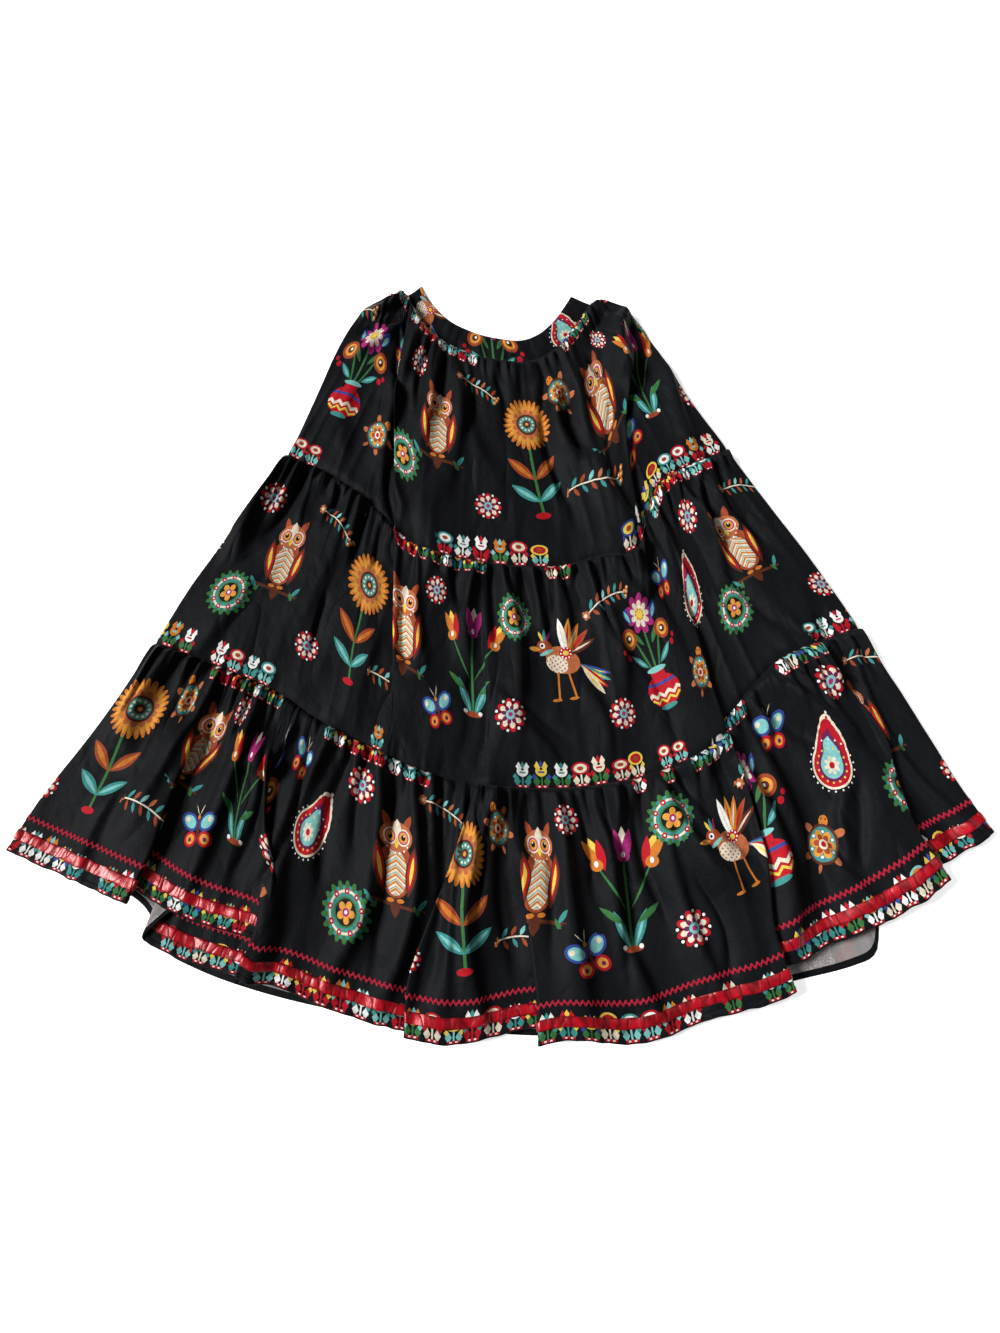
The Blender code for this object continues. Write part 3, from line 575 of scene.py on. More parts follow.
# Making cloth
def add_object(name, data):
    made = bpy.data.objects.new(name, data)
    bpy.context.scene.collection.objects.link(made)
    return made


def new_piece(name, points, faces):
    mesh = bpy.data.meshes.new(name)
    mesh.from_pydata(points.reshape(-1, 3).tolist(), [], faces)
    mesh.shade_smooth()
    return add_object(name, mesh)


def grid_piece(name, points, face_down=False):
    """A sheet through a grid of points, rows by columns with the waist row first."""
    rows, columns = points.shape[:2]
    r, c = np.meshgrid(np.arange(rows - 1), np.arange(columns - 1), indexing="ij")
    first = (r * columns + c).ravel()
    faces = np.stack([first, first + columns, first + columns + 1, first + 1], axis=1)
    if face_down:
        faces = faces[:, ::-1]
    return new_piece(name, points, faces.tolist()), faces


def cloth_places(across, down):
    """Cloth coordinates over a grid, from the place across and each row's place down."""
    return np.stack(np.broadcast_arrays(across, down[:, None]), axis=2)


def write_corners(mesh, name, places):
    """A named pair of numbers at every corner of every face."""
    layer = mesh.attributes.new(name, "FLOAT2", "CORNER")
    layer.data.foreach_set("vector", places.reshape(-1).astype(np.float32))


def read_all(items, name, kind, width=1):
    values = np.zeros(len(items) * width, dtype=kind)
    items.foreach_get(name, values)
    return values.reshape(-1, width) if width > 1 else values


def thicken(piece, thickness):
    """A shell of cloth whose inner side takes the last of its materials."""
    shell = piece.modifiers.new("thickness", "SOLIDIFY")
    shell.thickness = thickness
    shell.offset = 0.0
    shell.material_offset = len(piece.data.materials)
    bpy.ops.object.select_all(action="DESELECT")
    piece.select_set(True)
    bpy.context.view_layer.objects.active = piece
    bpy.ops.object.modifier_apply(modifier=shell.name)
    piece.select_set(False)


def unit(vectors):
    return vectors / np.maximum(np.linalg.norm(vectors, axis=-1, keepdims=True), 1e-9)


def grid_normals(points):
    return unit(np.cross(np.gradient(points, axis=0), np.gradient(points, axis=1)))


def on_grid(grid, row, column):
    """The grid's value between its rows and columns."""
    row = np.clip(row, 0.0, grid.shape[0] - 1.001)
    column = np.clip(column, 0.0, grid.shape[1] - 1.001)
    r, c = np.floor(row).astype(int), np.floor(column).astype(int)
    t, u = (row - r)[..., None], (column - c)[..., None]
    upper = lerp(grid[r, c], grid[r, c + 1], u)
    lower = lerp(grid[r + 1, c], grid[r + 1, c + 1], u)
    return lerp(upper, lower, t)


def over_cloth(points, rows, columns, out):
    """Points at some height over a sheet."""
    normals = unit(on_grid(grid_normals(points), rows, columns))
    return on_grid(points, rows, columns) + normals * out[..., None]


def along_rows(points):
    """How far along its row each point of a grid lies."""
    steps = np.linalg.norm(np.diff(points, axis=1), axis=2)
    return np.concatenate([np.zeros((points.shape[0], 1)), np.cumsum(steps, axis=1)], axis=1)


# The print: a repeat of flowers, birds and small animals in one width of cloth, with the
# motif, its place across and down the repeat, its half height and its turn in degrees
REPEAT = 0.96
PRINT = (
    ("sunflower", 0.07, 0.14, 0.09, 4), ("turtle", 0.136, 0.062, 0.036, 24),
    ("spray", 0.15, 0.196, 0.048, -8), ("owl", 0.208, 0.112, 0.07, -2),
    ("star", 0.265, 0.05, 0.022, 0), ("butterfly", 0.276, 0.205, 0.034, 22),
    ("tulips", 0.335, 0.128, 0.078, -5), ("wreath", 0.41, 0.07, 0.036, 8),
    ("star", 0.402, 0.198, 0.024, 12), ("bird", 0.48, 0.122, 0.072, 3),
    ("spray", 0.562, 0.056, 0.046, 14), ("star", 0.548, 0.205, 0.022, 0),
    ("vase", 0.625, 0.136, 0.088, 2), ("butterfly", 0.7, 0.066, 0.034, -18),
    ("turtle", 0.7, 0.202, 0.034, -35), ("paisley", 0.76, 0.12, 0.06, -10),
    ("wreath", 0.832, 0.196, 0.034, 0), ("star", 0.822, 0.058, 0.024, 5),
    ("owl", 0.885, 0.124, 0.062, 7), ("spray", 0.948, 0.05, 0.042, -16),
    ("star", 0.005, 0.215, 0.02, 0),
)
# Where each tier was cut from the print: how far across and down the repeat
BAND_CUT = (0.43, -0.105)
CUTS = {"tier_1": (0.865, 0.0), "tier_2": (0.25, 0.004), "tier_3": (0.598, -0.01)}
BORDER_CELL = 0.0225
BORDER_HEIGHT = 0.036
BORDER_BELOW = 0.02          # how far below a seam the other row reaches

# Inks of the print, in linear colour
INKS = {
    "gold": (0.52, 0.22, 0.035), "amber": (0.42, 0.13, 0.018), "rust": (0.24, 0.045, 0.016),
    "clay": (0.34, 0.1, 0.038), "brown": (0.07, 0.018, 0.009), "red": (0.34, 0.007, 0.014),
    "teal": (0.035, 0.19, 0.18), "aqua": (0.15, 0.38, 0.36), "cream": (0.56, 0.49, 0.38),
    "white": (0.64, 0.64, 0.62), "plum": (0.1, 0.012, 0.055), "cobalt": (0.025, 0.045, 0.2),
    "green": (0.03, 0.12, 0.035), "yellow": (0.56, 0.41, 0.055), "magenta": (0.27, 0.018, 0.12),
    "black": (0.0048, 0.0052, 0.0064),
}


def wire(tree, kind, inputs, **own):
    """A new node: its own settings first, then each input linked to what feeds it, or set."""
    node = tree.nodes.new("ShaderNode" + kind)
    for name, value in own.items():
        setattr(node, name, value)
    for name, value in inputs.items():
        value = value.socket if isinstance(value, Field) else value
        if isinstance(value, bpy.types.NodeSocket):
            tree.links.new(value, node.inputs[name])
        else:
            node.inputs[name].default_value = value
    return node


class Field:
    """A number that varies over a surface, worked out by the material's nodes."""

    def __init__(self, tree, socket):
        self.tree = tree
        self.socket = socket

    def math(self, operation, *others):
        inputs = dict(enumerate((self,) + others))
        return Field(self.tree, wire(self.tree, "Math", inputs, operation=operation).outputs[0])

    def __add__(self, other):
        return self.math("ADD", other)

    def __sub__(self, other):
        return self.math("SUBTRACT", other)

    def __mul__(self, other):
        return self.math("MULTIPLY", other)

    def __lt__(self, other):
        return self.math("LESS_THAN", other)

    def __gt__(self, other):
        return self.math("GREATER_THAN", other)

    def __or__(self, other):
        return self.math("MAXIMUM", other)

    __and__ = __mul__

    def size(self):
        return self.math("ABSOLUTE")


def two_ways(tree, place):
    """The two coordinates of a place."""
    node = wire(tree, "SeparateXYZ", {0: place})
    return Field(tree, node.outputs[0]), Field(tree, node.outputs[1])


class Drawing:
    """Paint on cloth: shapes in inks, each covering what was painted before."""

    def __init__(self, tree, place, ground):
        self.tree = tree
        self.place = place
        self.x, self.y = two_ways(tree, place)
        self.colour = ground

    def paint(self, ink, mask):
        ink = INKS.get(ink, ink)
        ink = ink + (1.0,) if isinstance(ink, tuple) else ink
        inputs = {"Factor": mask, "A": self.colour, "B": ink}
        self.colour = wire(self.tree, "Mix", inputs, data_type="RGBA").outputs["Result"]

    def local(self, x, y, wide=1.0, high=1.0, turn=0.0, mirror=False):
        """Coordinates whose origin is at x, y, turned and scaled."""
        place = self.place
        if mirror:
            place = wire(self.tree, "CombineXYZ", {0: self.x.size(), 1: self.y}).outputs[0]
        inputs = {"Location": (x, y, 0.0), "Rotation": (0.0, 0.0, math.radians(turn)),
                  "Scale": (wide, high, 1.0), "Vector": place}
        return wire(self.tree, "Mapping", inputs, vector_type="TEXTURE").outputs[0]

    def distance(self, vector):
        length = wire(self.tree, "VectorMath", {0: vector}, operation="LENGTH")
        return Field(self.tree, length.outputs["Value"])

    def polar(self, x=0.0, y=0.0):
        """Distance from a centre, and bearing round it."""
        vector = self.local(x, y)
        across, up = two_ways(self.tree, vector)
        return self.distance(vector), up.math("ARCTAN2", across)

    def in_oval(self, *shape):
        return self.distance(self.local(*shape)) < 1.0

    def in_leaf(self, *shape):
        """A leaf with a point at both ends."""
        across, along = two_ways(self.tree, self.local(*shape))
        return across.size() + along * along < 1.0

    def in_petals(self, polar, count, inner, outer, turn=0.0):
        reach, angle = polar
        lobes = (angle * (0.5 * count) + turn).math("COSINE").size().math("POWER", 0.6)
        return reach < lobes * (outer - inner) + inner

    def in_dots(self, polar, count, radius, size):
        """Dots round a centre."""
        reach, angle = polar
        beside = (angle * (count / TURN)).math("FRACT") - 0.5
        beside = beside * (TURN * radius / count)
        out = reach - radius
        return out * out + beside * beside < size * size

    def oval(self, ink, x, y, wide, high, turn=0.0, mirror=False):
        self.paint(ink, self.in_oval(x, y, wide, high, turn, mirror))

    def leaf(self, ink, x, y, wide, high, turn=0.0, mirror=False):
        self.paint(ink, self.in_leaf(x, y, wide, high, turn, mirror))

    def ovals(self, ink, *shape):
        """The same oval on both sides."""
        self.oval(ink, *shape, mirror=True)

    def leaves(self, ink, *shape):
        self.leaf(ink, *shape, mirror=True)

    def disc(self, ink, polar, radius):
        self.paint(ink, polar[0] < radius)

    def petals(self, ink, *shape):
        self.paint(ink, self.in_petals(*shape))

    def dots(self, ink, *shape):
        self.paint(ink, self.in_dots(*shape))

    def line(self, ink, lean, bend, half, low, high, offset=0.0):
        """An upright line that leans and bends, between two heights."""
        middle = self.y * lean + self.y * self.y * bend + offset
        self.paint(ink, ((self.x - middle).size() < half) & (self.y > low) & (self.y < high))


def draw_sunflower(art):
    art.line("green", 0.03, 0.05, 0.022, -0.95, 0.25)
    art.leaves("rust", 0.2, -0.2, 0.085, 0.26, -48)
    art.leaves("amber", 0.2, -0.2, 0.035, 0.21, -48)
    art.leaves("teal", 0.19, -0.58, 0.075, 0.24, -55)
    art.leaves("aqua", 0.19, -0.58, 0.028, 0.19, -55)
    art.oval("red", 0.0, -0.93, 0.11, 0.05)
    head = art.polar(0.04, 0.52)
    art.petals("amber", head, 26, 0.3, 0.43)
    art.petals("gold", head, 26, 0.24, 0.37, 0.4)
    art.petals("clay", head, 13, 0.19, 0.27)
    art.disc("brown", head, 0.185)
    art.disc("teal", head, 0.15)
    art.dots("cream", head, 11, 0.112, 0.019)
    art.disc("brown", head, 0.07)
    art.disc("gold", head, 0.03)


def draw_bird(art):
    for turn, ink in ((62, "cobalt"), (50, "teal"), (38, "red"), (27, "cream")):
        reach = 0.4 - 0.003 * turn
        x = 0.36 + reach * math.sin(math.radians(turn))
        y = -0.2 - reach * math.cos(math.radians(turn))
        art.leaf(ink, x, y, 0.06, 0.34, turn)
        art.leaf("yellow", x, y, 0.018, 0.26, turn)
    for lean, offset in ((0.12, -0.08), (-0.12, 0.05)):
        foot = offset - 0.74 * lean
        art.line("amber", lean, 0.0, 0.018, -0.74, -0.2, offset)
        art.oval("amber", foot - 0.045, -0.75, 0.085, 0.026)
    art.oval("clay", 0.02, -0.04, 0.33, 0.24, -28)
    breast = art.in_oval(-0.1, -0.1, 0.21, 0.16, -28)
    art.paint("cream", breast)
    across, along = art.x * 13.0 + art.y * 6.0, art.y * 13.0 - art.x * 6.0
    art.paint("rust", breast & (across.math("FRACT") < 0.35) & (along.math("FRACT") < 0.45))
    for k, ink in enumerate(("brown", "rust", "amber", "gold", "white")):
        turn = -74 + 19 * k
        x = 0.1 - 0.3 * math.sin(math.radians(turn))
        y = 0.05 + 0.34 * math.cos(math.radians(turn))
        art.leaf(ink, x, y, 0.078, 0.36, turn)
        art.leaf("red" if k % 2 else "cream", x, y, 0.02, 0.26, turn)
    art.oval("red", 0.1, 0.08, 0.13, 0.11)
    art.dots("white", art.polar(0.1, 0.08), 9, 0.095, 0.016)
    art.oval("yellow", 0.1, 0.08, 0.055, 0.045)
    art.oval("rust", -0.3, 0.22, 0.15, 0.14)
    art.oval("aqua", -0.27, 0.12, 0.14, 0.035, 18)
    art.leaf("gold", -0.5, 0.2, 0.045, 0.13, 82)
    art.oval("white", -0.33, 0.25, 0.052, 0.052)
    art.oval("black", -0.335, 0.25, 0.026, 0.026)
    art.leaf("teal", -0.27, 0.43, 0.03, 0.12, -8)
    art.leaf("magenta", -0.2, 0.41, 0.028, 0.11, -32)
    art.leaf("yellow", -0.34, 0.42, 0.028, 0.1, 18)


def draw_owl(art):
    art.paint("brown", ((art.y + 0.76 + art.x * 0.1).size() < 0.03) & (art.x.size() < 0.62))
    art.leaves("teal", 0.55, -0.7, 0.045, 0.15, -40)
    art.leaves("green", 0.46, -0.84, 0.04, 0.13, 210)
    art.leaf("brown", 0.0, -0.8, 0.1, 0.18)
    art.oval("rust", 0.0, -0.12, 0.37, 0.52)
    belly = art.in_oval(0.0, -0.2, 0.25, 0.4)
    art.paint("cream", belly)
    rows = (art.y * 8.0 + art.x.size() * 5.0).math("FRACT")
    art.paint("amber", belly & (rows < 0.34))
    art.paint("teal", belly & ((rows - 0.55).size() < 0.07))
    art.leaves("brown", 0.35, -0.15, 0.13, 0.46, -10)
    art.leaves("red", 0.35, -0.14, 0.085, 0.36, -10)
    art.leaves("yellow", 0.36, -0.13, 0.04, 0.26, -10)
    art.leaves("rust", 0.24, 0.68, 0.08, 0.2, -28)
    art.oval("clay", 0.0, 0.44, 0.37, 0.27)
    art.leaf("cream", 0.0, 0.58, 0.1, 0.18)
    face = art.x.size()
    for radius, ink in ((0.155, "cream"), (0.125, "magenta"), (0.1, "gold"), (0.052, "black")):
        art.paint(ink, (face - 0.155) * (face - 0.155) + (art.y - 0.44) * (art.y - 0.44) < radius * radius)
    art.ovals("white", 0.17, 0.47, 0.016, 0.016)
    art.leaf("yellow", 0.0, 0.33, 0.048, 0.1)
    art.paint("white", art.in_dots(art.polar(0.0, 0.44), 17, 0.295, 0.018) & (art.y < 0.34))
    art.ovals("amber", 0.11, -0.68, 0.08, 0.038)


def draw_vase(art):
    art.leaves("green", 0.16, -0.02, 0.02, 0.36, -20)
    art.line("green", 0.0, 0.0, 0.02, -0.3, 0.5)
    art.leaves("teal", 0.27, -0.1, 0.05, 0.19, -52)
    art.leaves("aqua", 0.27, -0.1, 0.016, 0.14, -52)
    art.leaves("green", 0.17, 0.24, 0.04, 0.15, -35)
    pot = art.in_oval(0.0, -0.62, 0.31, 0.25)
    art.paint("red", pot | ((art.x.size() < 0.13) & ((art.y + 0.36).size() < 0.08)))
    zigzag = ((art.x * 6.0).math("FRACT") - 0.5).size() * 0.12
    art.paint("cream", pot & ((art.y + 0.64 + zigzag).size() < 0.03))
    art.paint("yellow", pot & ((art.y + 0.73 + zigzag).size() < 0.02))
    art.paint("cobalt", pot & ((art.y + 0.5).size() < 0.022))
    art.oval("aqua", 0.0, -0.28, 0.18, 0.045)
    art.oval("teal", 0.0, -0.87, 0.15, 0.04)
    head = art.polar(0.0, 0.6)
    art.petals("magenta", head, 9, 0.17, 0.31)
    art.petals("cream", head, 9, 0.1, 0.21)
    art.disc("yellow", head, 0.095)
    art.dots("rust", head, 9, 0.08, 0.014)
    art.ovals("rust", 0.37, 0.26, 0.18, 0.155, -30)
    art.ovals("gold", 0.37, 0.26, 0.125, 0.105, -30)
    art.ovals("brown", 0.37, 0.26, 0.07, 0.06, -30)
    art.ovals("white", 0.355, 0.27, 0.026, 0.026)
    art.leaves("cobalt", 0.3, 0.62, 0.07, 0.16, -30)
    art.leaves("aqua", 0.3, 0.6, 0.035, 0.11, -30)
    art.ovals("red", 0.49, -0.02, 0.05, 0.05)
    art.ovals("red", 0.57, 0.06, 0.04, 0.04)


def draw_turtle(art):
    art.ovals("clay", 0.5, 0.42, 0.2, 0.12, 38)
    art.ovals("clay", 0.48, -0.44, 0.17, 0.11, -38)
    art.leaf("clay", 0.0, -0.76, 0.06, 0.18)
    art.oval("amber", 0.0, 0.72, 0.16, 0.2)
    art.ovals("black", 0.075, 0.8, 0.03, 0.03)
    art.oval("brown", 0.0, 0.0, 0.56, 0.64)
    art.oval("teal", 0.0, 0.0, 0.48, 0.55)
    shell = art.polar()
    art.petals("gold", shell, 6, 0.2, 0.46)
    art.petals("rust", shell, 6, 0.12, 0.33)
    art.disc("cream", shell, 0.16)
    art.disc("red", shell, 0.09)
    art.paint("white", art.in_dots(shell, 6, 0.4, 0.045) & (shell[0] > 0.3))


def draw_wreath(art):
    ring = art.polar()
    art.paint("green", art.in_petals(ring, 18, 0.56, 0.94) & (ring[0] > 0.4))
    art.paint("teal", art.in_petals(ring, 18, 0.4, 0.8, 1.57) & (ring[0] > 0.46))
    art.paint("cream", (ring[0] - 0.62).size() < 0.04)
    art.dots("red", ring, 9, 0.62, 0.095)
    art.dots("white", ring, 9, 0.62, 0.035)
    art.petals("gold", ring, 5, 0.12, 0.36)
    art.disc("magenta", ring, 0.13)
    art.disc("white", ring, 0.06)


def draw_paisley(art):
    def drop(size, ink):
        for k in range(7):
            t = k / 6.0
            x = 0.1 * math.sin(4.4 * t) + 0.34 * t * t
            y = -0.3 + 0.92 * t
            reach = 0.4 * size * (1 - t) ** 0.75 + 0.03
            art.oval(ink, x * size, (y + 0.3) * size - 0.3, reach, reach)
    drop(1.0, "cream")
    drop(0.9, "red")
    drop(0.66, "plum")
    drop(0.52, "aqua")
    middle = art.polar(0.0, -0.3)
    art.dots("yellow", middle, 15, 0.31, 0.02)
    art.petals("cream", middle, 8, 0.07, 0.17)
    art.disc("red", middle, 0.06)
    art.dots("white", middle, 22, 0.47, 0.017)


def draw_spray(art):
    bend = (art.y - art.x * art.x * -0.22 - 0.04).size()
    art.paint("cream", (bend < 0.02) & (art.x.size() < 0.8))
    for k in range(6):
        x = -0.62 + 0.245 * k
        y = -0.22 * x * x + 0.04
        ink = ("teal", "rust", "aqua", "clay", "teal", "rust")[k]
        art.leaf(ink, x + 0.06, y + 0.15, 0.052, 0.15, -30)
        art.leaf(("rust", "teal")[k % 2], x + 0.1, y - 0.14, 0.048, 0.14, 210)
    for x, y in ((0.86, -0.06), (0.8, -0.17), (0.9, 0.05), (0.78, -0.02)):
        art.oval("amber", x, y - 0.04, 0.06, 0.06)
        art.oval("white", x - 0.012, y - 0.028, 0.022, 0.022)
    tip = art.polar(-0.84, -0.1)
    art.petals("clay", tip, 7, 0.08, 0.15)
    art.disc("cream", tip, 0.055)


def draw_star(art):
    middle = art.polar()
    art.petals("red", middle, 8, 0.34, 0.88)
    art.petals("cream", middle, 8, 0.26, 0.7)
    art.petals("plum", middle, 8, 0.2, 0.52, 1.57)
    art.disc("aqua", middle, 0.26)
    art.disc("magenta", middle, 0.13)
    art.dots("white", middle, 8, 0.8, 0.075)


def draw_tulips(art):
    art.line("green", 0.0, 0.0, 0.022, -0.95, 0.3)
    art.leaves("green", 0.26, -0.05, 0.02, 0.4, -34)
    art.leaves("teal", 0.15, -0.66, 0.07, 0.3, -24)
    art.leaves("aqua", 0.15, -0.66, 0.022, 0.25, -24)
    art.leaves("green", 0.3, -0.46, 0.05, 0.22, -58)
    for x, turn, outer, inner in ((0.0, 0, "magenta", "cream"), (0.47, -26, "amber", "yellow")):
        y = 0.52 if x == 0.0 else 0.38
        both = x > 0.0
        art.leaf(inner, x, y + 0.06, 0.085, 0.26, turn, mirror=both)
        art.leaves(outer, x + 0.075, y + 0.04, 0.075, 0.25, turn - 14)
        if both:
            art.leaves("red", x - 0.075, y + 0.04, 0.07, 0.24, turn + 14)
        art.oval(outer, x, y - 0.12, 0.105, 0.09, mirror=both)
        art.oval("white", x, y - 0.1, 0.032, 0.045, mirror=both)
    art.oval("rust", 0.0, -0.93, 0.16, 0.045)
    art.ovals("white", 0.13, -0.9, 0.035, 0.035)


def draw_butterfly(art):
    art.ovals("cobalt", 0.42, 0.26, 0.42, 0.3, 32)
    art.ovals("aqua", 0.42, 0.26, 0.31, 0.21, 32)
    art.ovals("cream", 0.55, 0.34, 0.1, 0.09)
    art.ovals("red", 0.32, -0.34, 0.28, 0.26, -30)
    art.ovals("gold", 0.32, -0.34, 0.19, 0.17, -30)
    art.ovals("plum", 0.34, -0.36, 0.075, 0.075)
    art.leaf("brown", 0.0, -0.02, 0.06, 0.52)
    art.oval("amber", 0.0, 0.42, 0.075, 0.085)
    art.leaves("cream", 0.12, 0.68, 0.016, 0.22, -28)


def draw_border(art):
    """A row of small plants. The place counts cells across and runs up from the edge."""
    def pick(offset):
        cell = art.x.math("FLOOR") + offset
        kind = wire(art.tree, "TexWhiteNoise", {"W": cell}, noise_dimensions="1D")
        return Field(art.tree, kind.outputs["Value"])

    hue, shape, size = pick(0.0), pick(31.7), pick(77.3)
    cup = ramp(art.tree, hue, (
        (0.0, "white"), (0.24, "cream"), (0.36, "red"), (0.54, "white"), (0.68, "yellow"), (0.84, "amber")))
    trim = ramp(art.tree, hue, (
        (0.0, "teal"), (0.24, "red"), (0.36, "yellow"), (0.54, "red"), (0.68, "cobalt"), (0.84, "aqua")))
    leaves = ramp(art.tree, shape, (
        (0.0, "green"), (0.22, "white"), (0.38, "teal"), (0.52, "red"), (0.66, "cream"), (0.82, "aqua")))
    side = ((art.x.math("FRACT") - 0.5 + (size - 0.5) * 0.12) * 0.72).size()
    y = art.y.math("DIVIDE", size * 0.22 + 0.84)

    shown = shape > 0.07
    tulip, daisy = shown & (shape < 0.62), shown & (shape > 0.62)
    art.paint(leaves, shown & (side < 0.032) & (y > 0.06) & (y < 0.55))
    art.paint(leaves, shown & ((side - 0.19).size() * 8.0 + (y - 0.24).size() * 5.2 < 1.0))
    art.paint(trim, shown & ((side - 0.27).size() * 11.0 + (y - 0.4).size() * 9.0 < 1.0))
    art.paint(cup, tulip & (side * side * 22.0 + (y - 0.6) * (y - 0.6) * 27.0 < 1.0))
    art.paint(cup, tulip & ((side - 0.15).size() * 9.5 + (y - 0.77).size() * 6.0 < 1.0))
    art.paint(trim, tulip & (side * 11.0 + (y - 0.82).size() * 7.0 < 1.0))
    art.paint(trim, tulip & (side < 0.11) & ((y - 0.56).size() < 0.03))
    art.paint("black", tulip & (side < 0.05) & ((y - 0.67).size() < 0.035))
    disc = side * side * 9.0 + (y - 0.66) * (y - 0.66) * 20.0
    art.paint(trim, daisy & (disc < 1.0))
    art.paint(cup, daisy & (disc < 0.52))
    art.paint("rust", daisy & (disc < 0.12))
    art.paint("red", shown & (side < 0.22) & ((y - 0.075).size() < 0.042))
    art.paint("white", shown & ((side - 0.1).size() < 0.04) & ((y - 0.075).size() < 0.024))


MOTIFS = {
    "sunflower": draw_sunflower, "bird": draw_bird, "owl": draw_owl, "vase": draw_vase,
    "paisley": draw_paisley, "tulips": draw_tulips, "spray": draw_spray, "star": draw_star,
    "butterfly": draw_butterfly, "turtle": draw_turtle, "wreath": draw_wreath, "border": draw_border,
}
FABRICS = ("plain",) + tuple(MOTIFS) + ("wrong",)
NOWHERE = 9.0


def lay_print(piece, faces, part, cut, uv, bare):
    """Gives each cell of the cloth its motif and the motif's own coordinates."""
    across = uv[..., 0].reshape(-1)[faces] + cut[0]
    down = uv[..., 1].reshape(-1)[faces]
    middle_u, middle_v = across.mean(axis=1), down.mean(axis=1)
    kind = np.zeros(len(faces), dtype=np.int32)
    local = np.full((len(faces), 4, 2), NOWHERE)
    nearest = np.full(len(faces), 1.0)
    for tile in range(int(across.min() // REPEAT) - 1, int(across.max() // REPEAT) + 2):
        for motif, place_u, place_v, size, turn in PRINT:
            c, s = math.cos(math.radians(turn)), math.sin(math.radians(turn))

            def to_motif(u, v):
                x, y = (u - place_u - tile * REPEAT) / size, (place_v + cut[1] - v) / size
                return c * x + s * y, c * y - s * x

            span = np.hypot(*to_motif(middle_u, middle_v))
            chosen = span < nearest
            nearest[chosen] = span[chosen]
            kind[chosen] = FABRICS.index(motif)
            local[chosen] = np.stack(to_motif(across[chosen], down[chosen]), axis=2)
    if part != "casing":
        lay_border(part, kind, local, across, down)
    kind[bare] = 0
    write_corners(piece.data, "motif", local)
    piece.data.polygons.foreach_set("material_index", kind)


def lay_border(part, kind, local, across, down):
    """The border row above each tier's edge, and what shows of one just below a seam.
    Between seams it comes and goes, as the cloth was cut, and it runs whole along the hem."""
    cell = np.floor(across.mean(axis=1) / BORDER_CELL)
    middle = down.mean(axis=1)
    group = drift(cell * 0.21, 0.0, 51.0 + len(part))
    upper = (TIER - middle < BORDER_HEIGHT) & ((group > -0.15) if part != "tier_3" else True)
    few = -0.5 if part == "tier_1" else 0.0
    below = (middle < BORDER_BELOW) & (drift(cell * 0.23, 0.0, 61.0) > few)
    for chosen, foot in ((upper, TIER), (below, BORDER_BELOW)):
        kind[chosen] = FABRICS.index("border")
        local[chosen, :, 0] = across[chosen] / BORDER_CELL
        local[chosen, :, 1] = (foot - down[chosen]) / BORDER_HEIGHT


def dress(piece, faces, uv, part, cut, fabrics, bare=False):
    """Cloth coordinates, print, materials and thickness of a sheet."""
    corners = uv.reshape(-1, 2)[faces.reshape(-1)]
    write_corners(piece.data, "cloth", corners)
    low, high = corners.min(axis=0), corners.max(axis=0)
    write_corners(piece.data, "OFBake", 0.01 + 0.98 * (corners - low) / (high - low))
    for name in FABRICS:
        piece.data.materials.append(fabrics[name])
    lay_print(piece, faces, part, cut, uv, np.zeros(len(faces), dtype=bool) | bare)
    thicken(piece, CLOTH)
    finish_sides(piece.data, part)
    return piece


def finish_sides(mesh, part):
    """The outer side takes the upper part of the bake map and the inner side the rest, and
    inside the hem the turned cloth shows its right side."""
    down = read_all(mesh.attributes["cloth"].data, "vector", np.float32, 2)[:, 1]
    kinds = read_all(mesh.polygons, "material_index", np.int32)
    totals = read_all(mesh.polygons, "loop_total", np.int32)
    starts = np.cumsum(totals) - totals
    inner = kinds == len(FABRICS) - 1
    if part == "tier_3":
        kinds[inner & (down[starts] > TIER - HEM_TURN - 0.001)] = 0
        mesh.polygons.foreach_set("material_index", kinds)
    layer = mesh.attributes["OFBake"].data
    places = read_all(layer, "vector", np.float32, 2)
    upper, lower = 0.2 + 0.79 * places[:, 1], 0.02 + 0.16 * places[:, 1]
    places[:, 1] = np.where(np.repeat(inner, totals), lower, upper)
    layer.foreach_set("vector", places.reshape(-1))


# Pieces
def grain(tier, bearings, points, owner):
    """Place across the cloth: even by bearing where the cloth lies plain, so the print hangs
    straight. Each lap's cloth lies inside the lap, or is drawn up beside it where it is small.
    Says too where so much cloth is squeezed in that its print would smear."""
    across = np.radians(bearings) * (reach_of(0.0, tier["top"]) + 0.8 * TIER)
    run = along_rows(points)
    place = across.copy()
    squeezed = np.zeros(across.shape, dtype=bool)
    for n in range(len(tier["laps"])):
        own = np.where(owner == -1 - n)[0]
        first, last = own[0], own[-1]
        edges = across[:, first:first + 1], across[:, last:last + 1]
        length = run[:, last] - run[:, first]
        hidden = length - (across[:, last] - across[:, first])
        spare = 0.5 * np.minimum(hidden.max() - hidden, DRAWN_UP)[:, None]
        place[:, :first] += spare * (1.0 - ease((edges[0] - across[:, :first]) / DRAWN_SPREAD))
        pushed = spare * (1.0 - ease((across[:, last + 1:] - edges[1]) / DRAWN_SPREAD))
        place[:, last + 1:] += hidden.max() - pushed
        begin = edges[0] + spare
        finish = edges[1] + hidden.max() - spare
        share = (run[:, own] - run[:, first:first + 1]) / length[:, None]
        place[:, own] += begin + (finish - begin) * share - across[:, own]
        squeezed[:, own] = (finish - begin) > MOST_SQUEEZED * length[:, None]
    return place, squeezed


